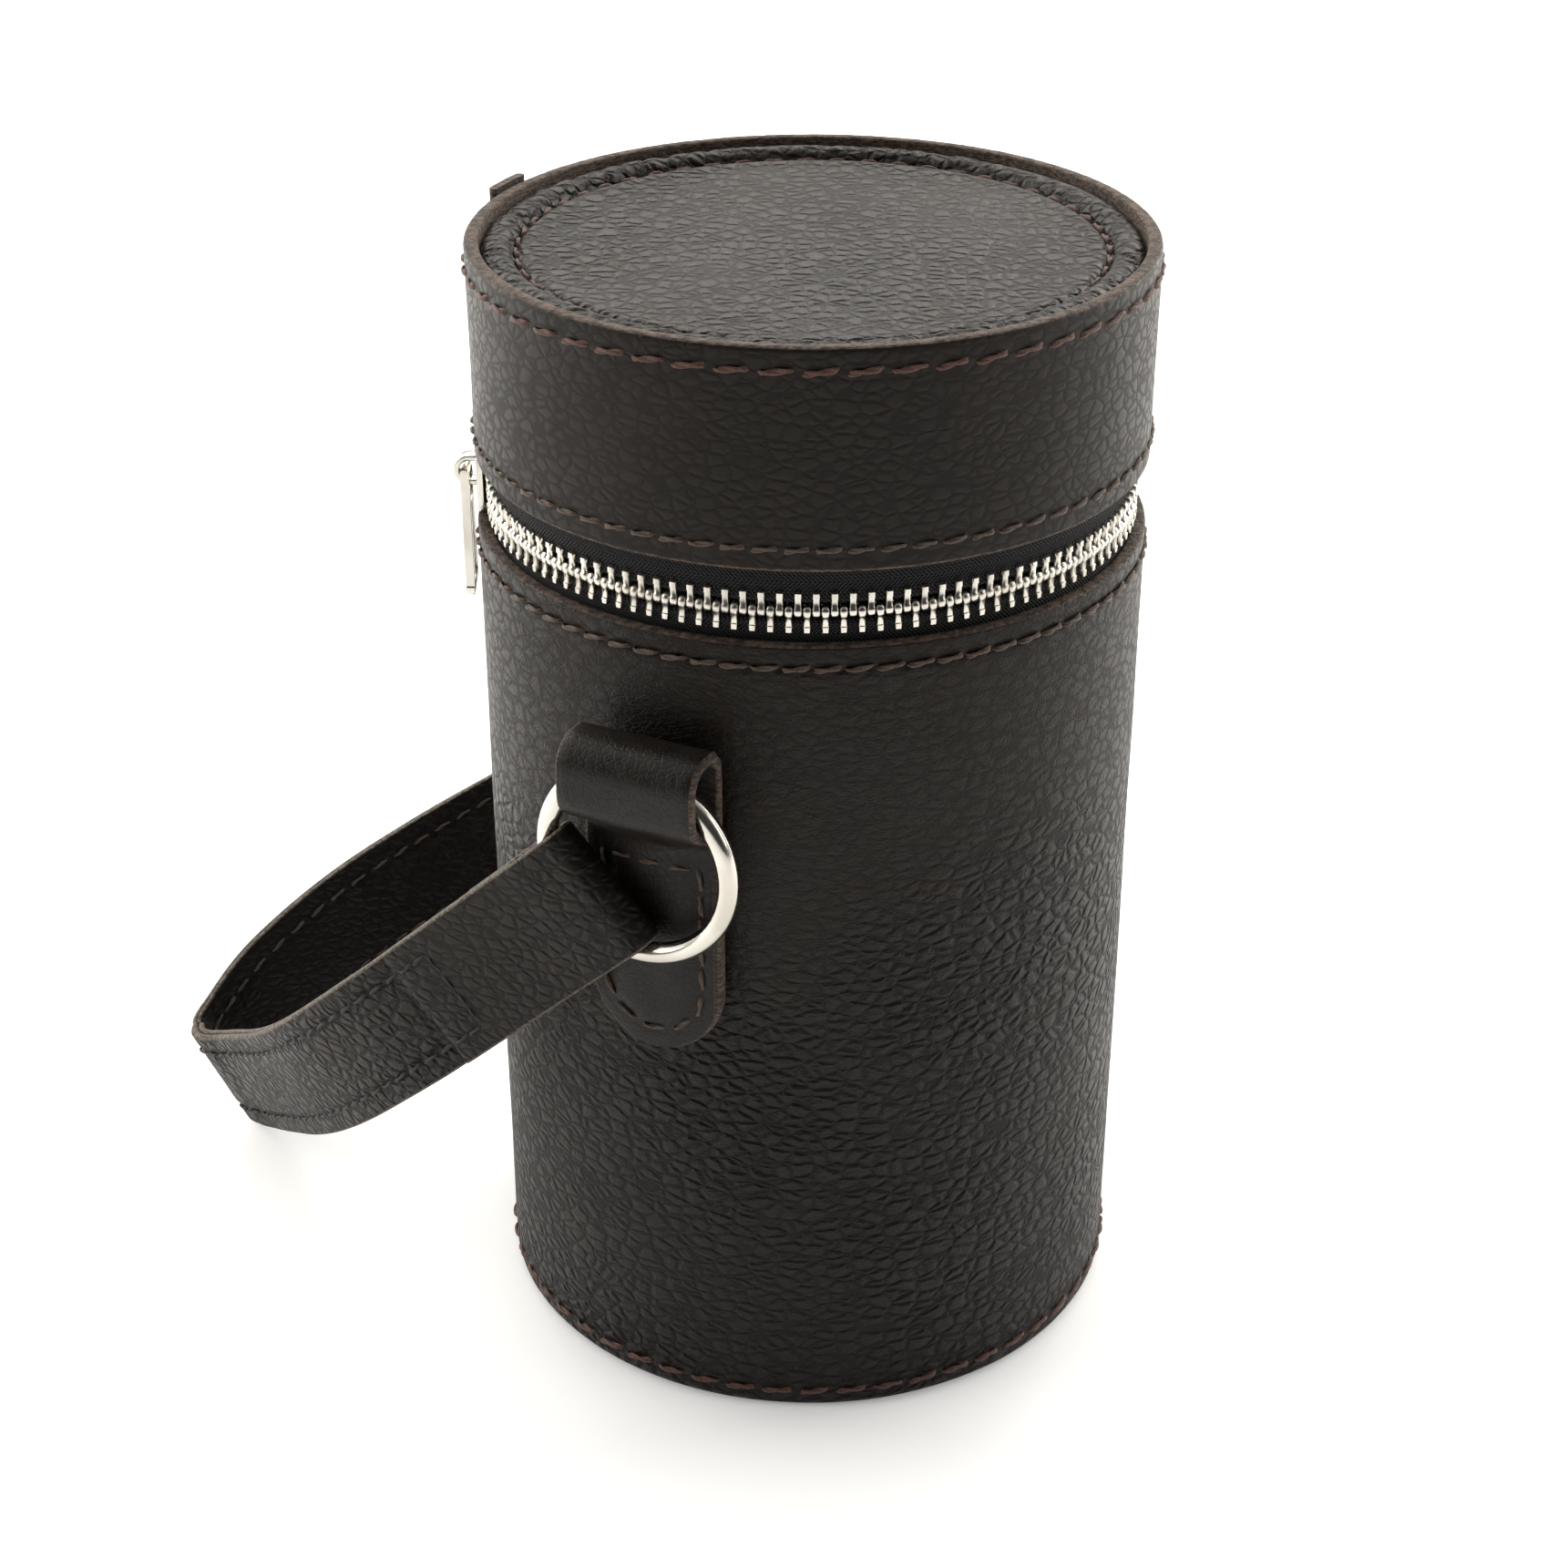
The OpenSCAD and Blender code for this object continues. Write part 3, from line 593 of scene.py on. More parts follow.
def lid_top():
    """Recessed top: pebbled middle, a deep stitched furrow, and a soft puffed ring beside the rim."""
    node = "lid_top_leather"
    rim_r = round_size("lid_lining")[1] + 1.3 * MM
    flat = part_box(node)[1].z - 0.9 * MM
    frames = stitch_frames("lid_top_stitching", upward)
    stitch_r = float(np.mean([math.hypot(f[0].x, f[0].y) for f in frames]))
    radii = [0.0] + [2.4 * MM * i for i in range(1, 16)]
    radii += list(np.arange(37 * MM, rim_r, 0.36 * MM)) + [rim_r]
    angles = full_circle(520)
    r = np.array(radii)[None, :]
    turn = np.array(angles)[:, None]
    x, y = r * np.cos(turn), r * np.sin(turn)
    z = np.full_like(x, flat)
    inner, outer = stitch_r + 0.6 * MM, rim_r
    t = np.clip((r - inner) / (outer - inner), 0, 1)
    puff = 1.45 * MM * np.sin(math.pi * t ** 0.85) ** 0.7
    lean = turn + 0.7 * (r - stitch_r) / stitch_r
    pleats = slow_noise(stitch_r * np.cos(lean), stitch_r * np.sin(lean), r * 0.16, 1.2 * MM, 2)
    pleat_depth = 0.55 * MM * np.maximum(pleats, -0.1) * np.sin(math.pi * t) ** 0.5
    puff = puff * (0.90 + 0.10 * slow_noise(x, y, z, 9 * MM)) - pleat_depth
    swell = 0.24 * MM * np.exp(-((stitch_r - 1.7 * MM - r) / (1.6 * MM)) ** 2)
    furrow = 0.50 * MM * np.exp(-((r - stitch_r) / (0.55 * MM)) ** 2)
    dent = thread_dents(x, y, z, frames)
    z = z + puff + swell - furrow - 0.8 * dent - 0.08 * MM * (1 + slow_noise(x, y, z, 14 * MM, 5))
    drop = np.clip((r - (rim_r - 0.7 * MM)) / (0.7 * MM), 0, 1) ** 2
    z = z - 0.9 * MM * drop * (r > inner)
    under = flat - 2.1 * MM
    n, m = len(angles), len(radii)
    verts = np.stack([x, y, z], -1).reshape(-1, 3).tolist()
    faces = []
    for i in range(n):
        k = (i + 1) % n
        faces += [(i * m + j, k * m + j, k * m + j + 1, i * m + j + 1) for j in range(1, m - 1)]
        faces.append((i * m, k * m + 1, i * m + 1))
    ring = len(verts)
    verts += [(rim_r * math.cos(a), rim_r * math.sin(a), under) for a in angles]
    faces += [(i * m + m - 1, ((i + 1) % n) * m + m - 1, ring + (i + 1) % n, ring + i) for i in range(n)]
    faces.append(tuple(range(ring + n - 1, ring - 1, -1)))
    make_piece("lid_top", verts, faces, [TOP_HIDE_PAINTED_SHEEN], None, "lid", [node])


def twisted_thread(name, body, node, outward, material, width, sink,
                   slant=7.0, reach=1.08, inside=None, rings=9):
    """Each stitch as two twisted strands that rise out of one hole and dive into the next.

    inside is the distance through to the back face and the thread's material there.
    """
    verts, faces = [], []
    sides = 6
    frames = stitch_frames(node, outward)
    front = len(frames)
    if inside:
        frames += [(centre - out * inside[0], along, -out, length) for centre, along, out, length in frames]
    for centre, along, out, length in frames:
        across = out.cross(along)
        tilt = math.radians(slant + random.uniform(-3, 3))
        line = along * math.cos(tilt) + across * math.sin(tilt)
        across = out.cross(line)
        half = length / 2 * reach * random.uniform(0.97, 1.03)
        middle = centre - out * sink
        phase = random.uniform(0, TURN)
        for strand in (0, math.pi):
            first = len(verts)
            for i in range(rings):
                t = 2 * i / (rings - 1) - 1
                rise = 0.10 * MM - 0.85 * width * abs(t) ** 5
                twist = phase + strand + TURN * (t * half) / (6.0 * MM)
                spine = middle + line * (half * t) + out * rise
                spine += (across * math.cos(twist) + out * math.sin(twist)) * width * 0.20
                size = width * 0.30 * (1 - 0.35 * abs(t) ** 6)
                for j in range(sides):
                    a = TURN * j / sides
                    verts.append(spine + (across * math.cos(a) + out * math.sin(a)) * size)
            for i in range(rings - 1):
                for j in range(sides):
                    a, b = first + i * sides, (j + 1) % sides
                    faces.append((a + j, a + b, a + sides + b, a + sides + j))
            faces.append(tuple(first + j for j in range(sides - 1, -1, -1)))
            faces.append(tuple(first + (rings - 1) * sides + j for j in range(sides)))
    share = len(faces) // len(frames)
    tags = [0 if i < front * share else 1 for i in range(len(faces))]
    materials = [material, inside[1]] if inside else [material]
    return make_piece(name, verts, faces, materials, tags, body, [node])


def band(name, stations, thickness, edge, materials, body, stands_for, cols=10, relief=None):
    """A flat leather strip with rounded edges.

    stations are (middle, across, normal, half width). relief(i, s, outer) moves a face's points along the
    normal, s being metres from the strip's middle line. Materials are outer face, cut edge, inner face.
    """
    half_t = thickness / 2
    round_r = min(edge, half_t * 0.98)
    verts, tags, faces = [], [], []
    plan = [("outer", -1 + 2 * i / cols) for i in range(cols + 1)]
    plan += [("right", a) for a in (60, 30, 0, -30, -60)]
    plan += [("inner", 1 - 2 * i / cols) for i in range(cols + 1)]
    plan += [("left", a) for a in (-120, -150, 180, 150, 120)]
    m = len(plan)
    for i, (middle, across, normal, half_w) in enumerate(stations):
        flat = max(half_w - round_r, 0.02 * MM)
        for kind, value in plan:
            if kind in ("outer", "inner"):
                side = 1 if kind == "outer" else -1
                s, h = value * flat, side * half_t
                if relief:
                    h += relief(i, s, side > 0)
            else:
                a = math.radians(value)
                edge_s = flat if kind == "right" else -flat
                s = edge_s + round_r * math.cos(a)
                h = half_t * math.sin(a)
                if relief:
                    h += 0.5 * (relief(i, edge_s, True) + relief(i, edge_s, False))
            verts.append(middle + across * s + normal * h)
    kinds = {"outer": 0, "right": 1, "inner": 2, "left": 1}
    for i in range(len(stations) - 1):
        for j in range(m):
            h = (j + 1) % m
            faces.append((i * m + j, (i + 1) * m + j, (i + 1) * m + h, i * m + h))
            same = kinds[plan[j][0]] == kinds[plan[h][0]]
            tags.append(kinds[plan[j][0]] if same else 1)
    faces += [tuple(range(m)), tuple(range(len(stations) * m - 1, (len(stations) - 1) * m - 1, -1))]
    tags += [1, 1]
    return make_piece(name, verts, faces, materials, tags, body, stands_for)


def lined(name, body, node, material, steps=192, edge=0.2 * MM):
    """A plain round layer with softened edges in the place of a round CAD node."""
    r_in, r_out, low, high = round_size(node)
    # a disc has points only at its rim, so its smallest radius is close to its largest
    solid = r_in < 1 * MM or r_out - r_in < 0.3 * MM
    edge = min(edge, (high - low) / 3, r_out / 4)
    outline = arc((r_out - edge, low + edge), edge, -90, 0, 2)
    outline += arc((r_out - edge, high - edge), edge, 0, 90, 2)
    if solid:
        outline += [(r_out * 0.6, high), (1e-6, high), (1e-6, low), (r_out * 0.6, low)]
    else:
        outline += arc((r_in + edge, high - edge), edge, 90, 180, 2)
        outline += arc((r_in + edge, low + edge), edge, 180, 270, 2)
    angles = full_circle(steps)
    verts, faces, tags = revolved(outline, [0] * len(outline), angles, True)
    make_piece(name, verts, faces, [material], tags, body, [node])


def softened(name, body, node, material, width):
    """A CAD node's own shape with its edges rounded off."""
    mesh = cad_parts[node].data.copy()
    bm = bmesh.new()
    bm.from_mesh(mesh)
    bmesh.ops.remove_doubles(bm, verts=bm.verts, dist=0.003 * MM)
    bmesh.ops.dissolve_limit(bm, angle_limit=math.radians(2), verts=bm.verts, edges=bm.edges)
    sharp = [e for e in bm.edges if e.is_manifold and e.calc_face_angle(0) > math.radians(35)]
    bmesh.ops.bevel(bm, geom=sharp, offset=width, segments=3, profile=0.5, affect="EDGES", clamp_overlap=True)
    bmesh.ops.recalc_face_normals(bm, faces=bm.faces)
    verts = [v.co.copy() for v in bm.verts]
    faces = [[v.index for v in f.verts] for f in bm.faces]
    bm.free()
    return make_piece(name, verts, faces, [material], None, body, [node])


# ---------------------------------------------------------------- the zip


def zip_teeth(name, node, up):
    """Clamped metal teeth: a leg with a lip and a step, a waist, and a rounded head."""
    # reach from the chain's middle, half width along the tape and half thickness, in mm
    profile = [(-2.95, 0.36, 0.92), (-2.80, 0.46, 1.12), (-2.05, 0.47, 1.14), (-1.96, 0.45, 0.98),
               (-0.70, 0.44, 0.94), (-0.52, 0.49, 1.12), (0.30, 0.50, 1.08), (0.68, 0.44, 0.86),
               (0.90, 0.24, 0.52)]
    cut, corners = 0.13, 8
    verts, faces = [], []
    mid_z = (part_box("zip_teeth_lower")[0].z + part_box("zip_teeth_upper")[1].z) / 2
    for co in node_solids(node):
        centre = co.mean(0)
        angle = math.atan2(centre[1], centre[0])
        out = Vector((math.cos(angle), math.sin(angle), 0))
        across = Vector((-out.y, out.x, 0))
        lean = random.uniform(-0.012, 0.012)
        middle = out * float(np.hypot(co[:, 0], co[:, 1]).max() + np.hypot(co[:, 0], co[:, 1]).min()) / 2
        first = len(verts)
        for reach, half_w, half_t in profile:
            base = middle + Vector((0, 0, mid_z + up * reach * MM)) + across * (lean * reach * MM)
            for a, c in ((half_w - cut, half_t), (half_w, half_t - cut), (half_w, cut - half_t),
                         (half_w - cut, -half_t), (cut - half_w, -half_t), (-half_w, cut - half_t),
                         (-half_w, half_t - cut), (cut - half_w, half_t)):
                verts.append(base + across * (a * MM) + out * (c * MM))
        for i in range(len(profile) - 1):
            for j in range(corners):
                a, b = first + i * corners, (j + 1) % corners
                faces.append((a + j, a + b, a + corners + b, a + corners + j))
        last = first + (len(profile) - 1) * corners
        faces.append(tuple(range(first, first + corners)))
        faces.append(tuple(range(last + corners - 1, last - 1, -1)))
    make_piece(name, verts, faces, [TOOTH_METAL], None, "cup" if up > 0 else "lid", [node])


def zip_tape(name, body, node, towards):
    """Woven tape whose beaded edge runs in between the teeth's legs."""
    r_in, r_out, low, high = round_size(node)
    co = node_points(node)
    turn = np.unwrap(np.sort(np.arctan2(co[:, 1], co[:, 0])))
    gaps = np.diff(turn)
    wide = int(np.argmax(gaps))
    start, end = turn[wide + 1], turn[wide] + TURN
    reach = 1.75 * MM
    mid_r, bead = (r_in + r_out) / 2, 0.62 * MM
    if towards > 0:
        beaded = arc((mid_r, high + reach - bead), bead, -35, 215, 10)
        outline = [(r_in, low), (r_out, low), (r_out, high)] + beaded + [(r_in, high)]
    else:
        beaded = arc((mid_r, low - reach + bead), bead, 145, 395, 10)
        outline = [(r_out, high), (r_in, high), (r_in, low)] + beaded + [(r_out, low)]
    steps = 300
    angles = [start + (end - start) * i / steps for i in range(steps + 1)]
    verts, faces, tags = revolved(outline, [0] * len(outline), angles, False)
    make_piece(name, verts, faces, [TAPE], tags, body, [node])


# ---------------------------------------------------------------- keepers and rings

RING_LOW, RING_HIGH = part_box("ring_left")
RING_X = -(RING_LOW.x + RING_HIGH.x) / 2
RING_Z = (RING_LOW.z + RING_HIGH.z) / 2
WIRE_R = (RING_HIGH.x - RING_LOW.x) / 2
RING_R = (RING_HIGH.z - RING_LOW.z) / 2 - WIRE_R


def steel_ring(name, side):
    """A closed ring of round wire, the wire slightly thinner at its weld."""
    verts, faces = [], []
    n, m = 160, 28
    for i in range(n):
        a = TURN * i / n
        weld = 1 - 0.03 * math.exp(-((a - 0.7 * math.pi) / 0.035) ** 2)
        for j in range(m):
            b = TURN * j / m
            r = RING_R + WIRE_R * weld * math.cos(b)
            x = side * RING_X + WIRE_R * weld * math.sin(b)
            verts.append((x, r * math.cos(a), RING_Z + r * math.sin(a)))
    for i in range(n):
        for j in range(m):
            k, h = (i + 1) % n, (j + 1) % m
            faces.append((i * m + j, k * m + j, k * m + h, i * m + h))
    make_piece(name, verts, faces, [BRIGHT], None, name, [name])


def smooth_route(points, per_span):
    """Catmull-Rom curve through the points, with its value at every step."""
    found = []
    last = len(points) - 1
    for i in range(last):
        a, b = points[max(i - 1, 0)], points[i]
        c, d = points[i + 1], points[min(i + 2, last)]
        for k in range(per_span):
            t = k / per_span
            found.append(0.5 * (2 * b + (c - a) * t + (2 * a - 5 * b + 4 * c - d) * t * t
                                + (3 * b - a - 3 * c + d) * t * t * t))
    return found + [points[last]]


def directions(path):
    """Unit direction of a plane path at each of its points."""
    found = []
    for i in range(len(path)):
        before, after = path[max(i - 1, 0)], path[min(i + 1, len(path) - 1)]
        dx, dy = after[0] - before[0], after[1] - before[1]
        length = math.hypot(dx, dy)
        found.append((dx / length, dy / length))
    return found


def keeper(side):
    """One strip folded over the ring, both its legs sewn to the wall."""
    node = "keeper_left" if side < 0 else "keeper_right"
    low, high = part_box(node)
    layer, thickness = 1.7 * MM, 1.66 * MM
    wall_r = round_size("cup_wall_leather")[1] + GLUE
    half_w = (high.y - low.y) / 2
    front = high.x - thickness / 2 if side > 0 else -low.x - thickness / 2
    top = high.z - thickness / 2
    foot = low.z
    sheet = wall_r + 1.5 * layer
    back = wall_r + 0.5 * layer
    bend = 3.75 * MM
    foot_mid = foot + half_w
    legs = [foot + half_w * (1 - math.cos(math.radians(a))) for a in range(4, 90, 7)]
    legs += list(np.arange(foot_mid, top - 16.5 * MM, 1.3 * MM))
    path = [(sheet, z) for z in legs]
    joint = path[-1][1]
    turned = [Vector((sheet, joint, 0)),
              Vector((sheet + 0.5 * MM, joint + 1.9 * MM, 0)),
              Vector((sheet + 3.4 * MM, joint + 4.6 * MM, 0)),
              Vector((front - 1.2 * MM, joint + 6.5 * MM, 0)),
              Vector((front - 0.15 * MM, joint + 8.5 * MM, 0)),
              Vector((front, top - bend - 0.6 * MM, 0))]
    path += [(p.x, p.y) for p in smooth_route(turned, 4)[1:]]
    path += arc((front - bend, top - bend), bend, 0, 90, 8)
    path += arc((back + bend, top - bend), bend, 90, 180, 8)
    down = np.arange(top - bend - 2 * MM, joint, -2 * MM)
    path += [(back, z) for z in down] + [(back, z) for z in reversed(legs)]
    stitch_half = half_w - 3.4 * MM
    fold_from, fold_to = joint + 2 * MM, joint + 8 * MM

    def follow(i):
        """How far the strip follows the round wall at this station: 1 on the wall, 0 over the ring."""
        x, z = path[i]
        if x < back + 0.3 * MM:
            return 1.0
        if z > fold_from:
            return max(0.0, 1 - (z - fold_from) / (fold_to - fold_from)) if x > sheet else 0.5
        return 1.0

    def relief(i, s, outer):
        x, z = path[i]
        inward = -(x - math.sqrt(x * x - s * s)) * follow(i)
        if not outer or abs(x - sheet) > 0.2 * MM:
            return inward
        off = abs(s) - stitch_half if z > foot_mid else math.hypot(s, z - foot_mid) - stitch_half
        cross = z - (joint - 2.4 * MM)
        row = math.exp(-(off / (0.8 * MM)) ** 2)
        puff = 0.22 * MM * math.exp(-(min(off + 3.6 * MM, 0) / (3 * MM)) ** 2) if off < 0 else 0.0
        return inward - 0.26 * MM * row + puff * math.exp(-(max(cross, 0) / MM) ** 2)

    stations = []
    for (x, z), (dx, dz) in zip(path, directions(path)):
        normal = Vector((side * dz, 0, -dx))
        width = half_w
        if z < foot_mid:
            width = math.sqrt(max(half_w ** 2 - (foot_mid - z) ** 2, (0.5 * MM) ** 2))
        stations.append((Vector((side * x, 0, z)), Vector((0, 1, 0)), normal, width))
    name = "folded_" + node
    band(name, stations, thickness, 0.5 * MM, [KEEPER_HIDE, RIM_EDGE, DARK_EDGE], "cup",
         [node], cols=14, relief=relief)


# ---------------------------------------------------------------- the strap

STRAP_HALF = 10.2 * MM
STRAP_OUTER_T = 1.5 * MM
STRAP_LINING_T = 1.1 * MM
STRAP_RISE = 0.55 * MM
STRAP_ROW = STRAP_HALF - 3.6 * MM
TAIL_END = 48 * MM
DROOP = math.radians(43)
DROOP_DIR = Vector((0, math.cos(DROOP), -math.sin(DROOP)))
DROOP_UP = Vector((0, math.sin(DROOP), math.cos(DROOP)))
RING_ENDS = [18, 30, 42, 49, 54]


def ring_point(side, u):
    return Vector((side * (RING_X - STRAP_RISE), 0, RING_Z)) + DROOP_DIR * (u * MM)


STRAP_ROUTE = [ring_point(-1, u) for u in RING_ENDS]
STRAP_ROUTE += [Vector(p) * MM for p in (
    (-54.4, 46.5, 54.4), (-50.5, 57, 44.6), (-44, 67.5, 35), (-36.5, 77.5, 26.5), (-29.5, 87, 19.5),
    (-24, 95, 14), (-21.4, 100.6, 11.4), (-19.3, 103.6, 10.7), (-16, 104.4, 11.6), (-12, 102.8, 15),
    (-5, 98.5, 22.6), (6, 90.8, 30.6), (18, 81.5, 37.2), (30, 71.5, 43), (41, 60.5, 49), (51.5, 47.5, 55))]
STRAP_ROUTE += [ring_point(1, u) for u in reversed(RING_ENDS)]
STRAP_UPRIGHT = [DROOP_UP] * 7
STRAP_UPRIGHT += [Vector(v) for v in (
    (0, 0.66, 0.75), (-0.02, 0.6, 0.8), (-0.08, 0.52, 0.85), (-0.14, 0.46, 0.87), (-0.2, 0.4, 0.89),
    (-0.2, 0.36, 0.91), (-0.16, 0.34, 0.93), (-0.1, 0.33, 0.94), (-0.04, 0.36, 0.93), (0, 0.4, 0.91),
    (0, 0.46, 0.88), (0, 0.54, 0.84), (0, 0.6, 0.8), (0, 0.66, 0.75))]
STRAP_UPRIGHT += [DROOP_UP] * 5
STRAP_STEPS = 8


def strap_line():
    """Middle, across and outward directions along the strap, from the left ring to the right one."""
    mids = smooth_route(STRAP_ROUTE, STRAP_STEPS)
    found = []
    for k, mid in enumerate(mids):
        i = min(k // STRAP_STEPS, len(STRAP_ROUTE) - 2)
        t = k / STRAP_STEPS - i
        if k == 0:
            along = DROOP_DIR.copy()
        elif k == len(mids) - 1:
            along = -DROOP_DIR
        else:
            along = (mids[k + 1] - mids[k - 1]).normalized()
        up = STRAP_UPRIGHT[i].lerp(STRAP_UPRIGHT[i + 1], t)
        up = (up - along * up.dot(along)).normalized()
        found.append((mid, up, -along.cross(up)))
    return found


def strap_layers():
    line = strap_line()
    ends = STRAP_STEPS * 3

    def outer_relief(i, s, outer):
        if not outer:
            return 0.0
        wave = 0.07 * MM * noise.noise(Vector((i * 0.22, s / (5 * MM), 3)))
        if i < ends or i > len(line) - 1 - ends:
            return wave
        return wave - 0.34 * MM * math.exp(-((abs(s) - STRAP_ROW) / (0.65 * MM)) ** 2)

    def lining_relief(i, s, outer):
        if outer:
            return 0.0
        return 0.20 * MM * math.exp(-((abs(s) - STRAP_ROW) / (0.6 * MM)) ** 2)

    def stations(offset):
        return [(mid + out * offset, up, out, STRAP_HALF) for mid, up, out in line]

    trim = 0.02 * MM
    band("strap_top_layer", stations((STRAP_OUTER_T + GLUE / 2) / 2), STRAP_OUTER_T - trim, 0.45 * MM,
         [STRAP_HIDE, STRAP_EDGE, DARK_EDGE], "handle", ["strap_outer"], 22,
         outer_relief)
    band("strap_under_layer", stations(-(STRAP_LINING_T + GLUE / 2) / 2), STRAP_LINING_T - trim, 0.35 * MM,
         [DARK_EDGE, STRAP_EDGE, BACK_HIDE], "handle", ["strap_lining"], 22,
         lining_relief)


def strap_end(side):
    """Leather folded round the ring: a short leg inside, a long sewn tail outside."""
    node = "strap_end_left" if side < 0 else "strap_end_right"
    thickness = 1.28 * MM
    eye_r = 2.45 * MM
    near, far = 8.75 * MM, 14.2 * MM
    inner_x = STRAP_RISE + STRAP_LINING_T + GLUE + thickness / 2
    outer_x = -(STRAP_OUTER_T - STRAP_RISE + GLUE + thickness / 2)
    marks = [Vector(p) for p in ((inner_x, 30 * MM, 0), (inner_x, 24 * MM, 0), (inner_x, 19.5 * MM, 0),
                                 (eye_r, far + 1.5 * MM, 0), (eye_r, near, 0))]
    path = [(p.x, p.y) for p in smooth_route(marks, 5)[:-1]]
    path += arc((0, near), eye_r, 0, -180, 16)
    marks = [Vector(p) for p in ((-eye_r, near, 0), (-eye_r, far + 0.6 * MM, 0),
                                 (outer_x - 0.3 * MM, 20 * MM, 0), (outer_x, 26 * MM, 0),
                                 (outer_x, 36 * MM, 0), (outer_x, TAIL_END, 0))]
    path += [(p.x, p.y) for p in smooth_route(marks, 7)[1:]]
    row_u = TAIL_END - 7.6 * MM

    def relief(i, s, outer):
        u = path[i][1]
        if not outer or path[i][0] > 0:
            return 0.0
        wave = 0.05 * MM * noise.noise(Vector((u / (6 * MM), s / (5 * MM), 8 * side)))
        rows = math.exp(-((abs(s) - STRAP_ROW) / (0.6 * MM)) ** 2) if u > row_u else 0.0
        cross = math.exp(-((u - row_u) / (0.6 * MM)) ** 2) if abs(s) < STRAP_ROW + 0.5 * MM else 0.0
        skive = -0.35 * MM * max(0.0, (u - (TAIL_END - 1.2 * MM)) / (1.2 * MM))
        return wave - 0.34 * MM * max(rows, cross) + skive

    stations = []
    origin = Vector((side * RING_X, 0, RING_Z))
    for (x, u), (dx, du) in zip(path, directions(path)):
        middle = origin + Vector((-side * x, 0, 0)) + DROOP_DIR * u
        normal = Vector((side * du, 0, 0)) + DROOP_DIR * dx
        stations.append((middle, DROOP_UP, normal, STRAP_HALF))
    band("folded_" + node, stations, thickness, 0.4 * MM, [TAIL_HIDE, STRAP_EDGE, DARK_EDGE], "handle",
         [node], 22, relief)


# ---------------------------------------------------------------- hinge and seam strips


def hinge_leather():
    """Soft leather behind both edges at the back."""
    r_in, r_out, low, high = round_size("hinge_strip")
    co = node_points("hinge_strip")
    half = float(np.abs(np.arctan2(co[:, 0], co[:, 1])).max())
    rows = list(np.linspace(low, high, 60))
    outline = [(r_out, z) for z in rows] + [(r_in, z) for z in reversed(rows)]
    steps = 44
    angles = [math.pi / 2 - half + 2 * half * i / steps for i in range(steps + 1)]
    points = np.array(outline)
    x, y, z = turned_points(points, angles)
    crease = 0.10 * MM * slow_noise(x, y, z * 4, 4 * MM, 6)
    outer = points[:, 0] > (r_in + r_out) / 2
    dr = np.where(outer[None, :], crease, 0)
    verts, faces, tags = revolved(outline, [0] * len(outline), angles, False, dr)
    piece = make_piece("hinge_leather", verts, faces, [BACK_HIDE], tags, None,
                       ["hinge_strip"])
    cup_edge = round_size("cup_wall_leather")[3]
    lid_edge = round_size("lid_wall_leather")[2]
    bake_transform(piece)


def seam_strip(node, body):
    """Strip glued over the wall's seam, its long edges rounded."""
    r_in, r_out, low, high = round_size(node)
    co = node_points(node)
    half = float(np.abs(co[:, 0]).max())
    r_mid = (r_in + r_out) / 2
    rows = np.linspace(low, high, max(int((high - low) / (1.5 * MM)), 8))
    stations = [(Vector((0, r_mid, z)), Vector((1, 0, 0)), Vector((0, 1, 0)), half) for z in rows]

    def relief(i, s, outer):
        wave = 0.06 * MM * noise.noise(Vector((rows[i] / (9 * MM), s / (6 * MM), 1))) if outer else 0.0
        return -(r_mid - math.sqrt(r_mid ** 2 - s * s)) + wave

    band("sewn_" + node, stations, r_out - r_in - 0.08 * MM, 0.55 * MM, [LID_HIDE, RIM_EDGE, DARK_EDGE], body,
         [node], 16, relief)


# ---------------------------------------------------------------- build everything


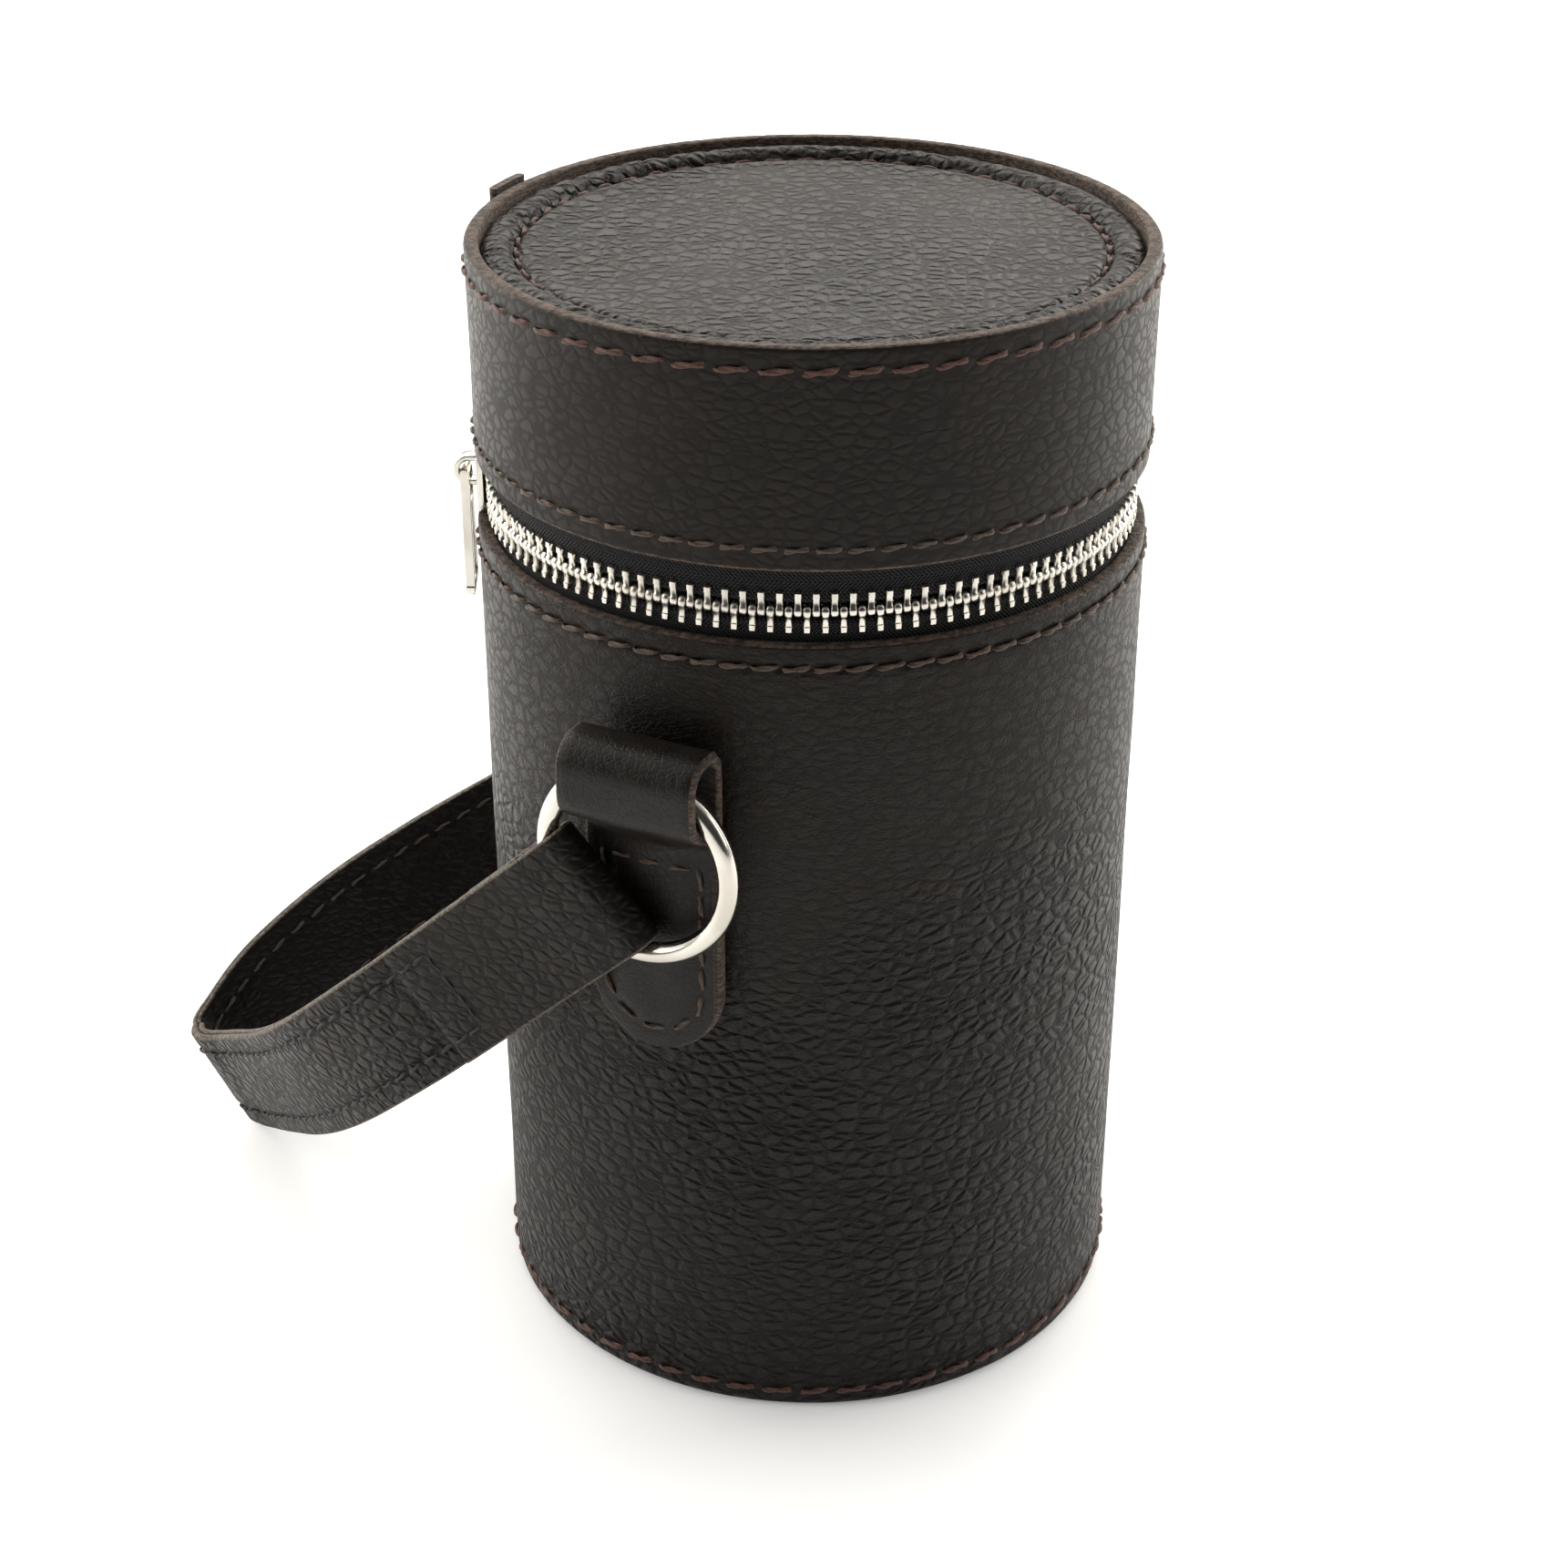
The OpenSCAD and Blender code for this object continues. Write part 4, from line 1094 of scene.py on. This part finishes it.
def build():
    leather_wall("cup_leather", "cup", "cup_wall_leather", ["base_stitching", "cup_zip_stitching"],
                 1.5 * MM, 0.5 * MM, False, WALL_HIDE)
    leather_wall("lid_leather", "lid", "lid_wall_leather", ["lid_zip_stitching", "lid_rim_stitching"],
                 0.5 * MM, 0.7 * MM, True, LID_HIDE)
    lid_top()
    for node, body in (("cup_lining", "cup"), ("base_lining", "cup"), ("lid_lining", "lid"),
                       ("lid_top_lining", "lid")):
        lined(node + "_cloth", body, node, CLOTH)
    for row, body, outward, material, width, sink, reach in (
            ("base", "cup", radial, RED_THREAD, 0.95, 0.36, 1.15),
            ("cup_zip", "cup", radial, DUN_THREAD, 0.84, 0.32, 1.25),
            ("lid_zip", "lid", radial, DUN_THREAD, 0.84, 0.32, 1.25),
            ("lid_rim", "lid", radial, RED_THREAD, 0.95, 0.34, 1.15),
            ("lid_top", "lid", upward, RED_THREAD, 0.80, 0.58, 1.08)):
        twisted_thread(row + "_thread", body, row + "_stitching", outward, material, width * MM,
                       sink * MM, reach=reach)
    for side, word in ((-1, "left"), (1, "right")):
        keeper(side)
        strap_end(side)
        steel_ring("ring_" + word, side)
        twisted_thread("keeper_thread_" + word, "cup", "keeper_stitching_" + word, radial, DUN_THREAD,
                       0.70 * MM, 0.10 * MM, reach=1.42)
    strap_layers()
    twisted_thread("strap_thread", "handle", "strap_stitching", away_from_loop, BLACK_THREAD, 0.66 * MM,
                   0.42 * MM, 4.0, 1.35, (3.10 * MM, DUN_THREAD))
    zip_tape("lower_tape", "cup", "zip_tape_lower", 1)
    zip_tape("upper_tape", "lid", "zip_tape_upper", -1)
    zip_teeth("lower_teeth", "zip_teeth_lower", 1)
    zip_teeth("upper_teeth", "zip_teeth_upper", -1)
    for node, body in (("zip_top_stop_lower", "cup"), ("zip_bottom_stop", "cup"),
                       ("zip_top_stop_upper", "lid"), ("slider_body", "slider"),
                       ("slider_crown", "slider"), ("zip_pull", "pull")):
        softened("smooth_" + node, body, node, BRIGHT, 0.2 * MM)
    hinge_leather()
    seam_strip("wall_seam_strip", "cup")
    seam_strip("lid_seam_strip", "lid")
    for node, material in (("base_leather", WALL_HIDE), ("cup_stiffener", BOARD), ("base_board", BOARD),
                           ("lid_stiffener", BOARD), ("lid_top_board", BOARD)):
        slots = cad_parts[node].data.materials
        slots.clear()
        slots.append(material)


def make_floor():
    """A pale flat floor, its colour gently uneven."""
    verts, faces, n, half = [], [], 24, 4.0
    for i in range(n + 1):
        for j in range(n + 1):
            verts.append((half * (2 * i / n - 1), half * (2 * j / n - 1), 0))
    for i in range(n):
        for j in range(n):
            a = i * (n + 1) + j
            faces.append((a, a + n + 1, a + n + 2, a + 1))
    floor = make_piece("floor", verts, faces, [studio_floor("pale_floor")])


make_camera()
make_studio()
build()
make_floor()

bpy.context.view_layer.update()
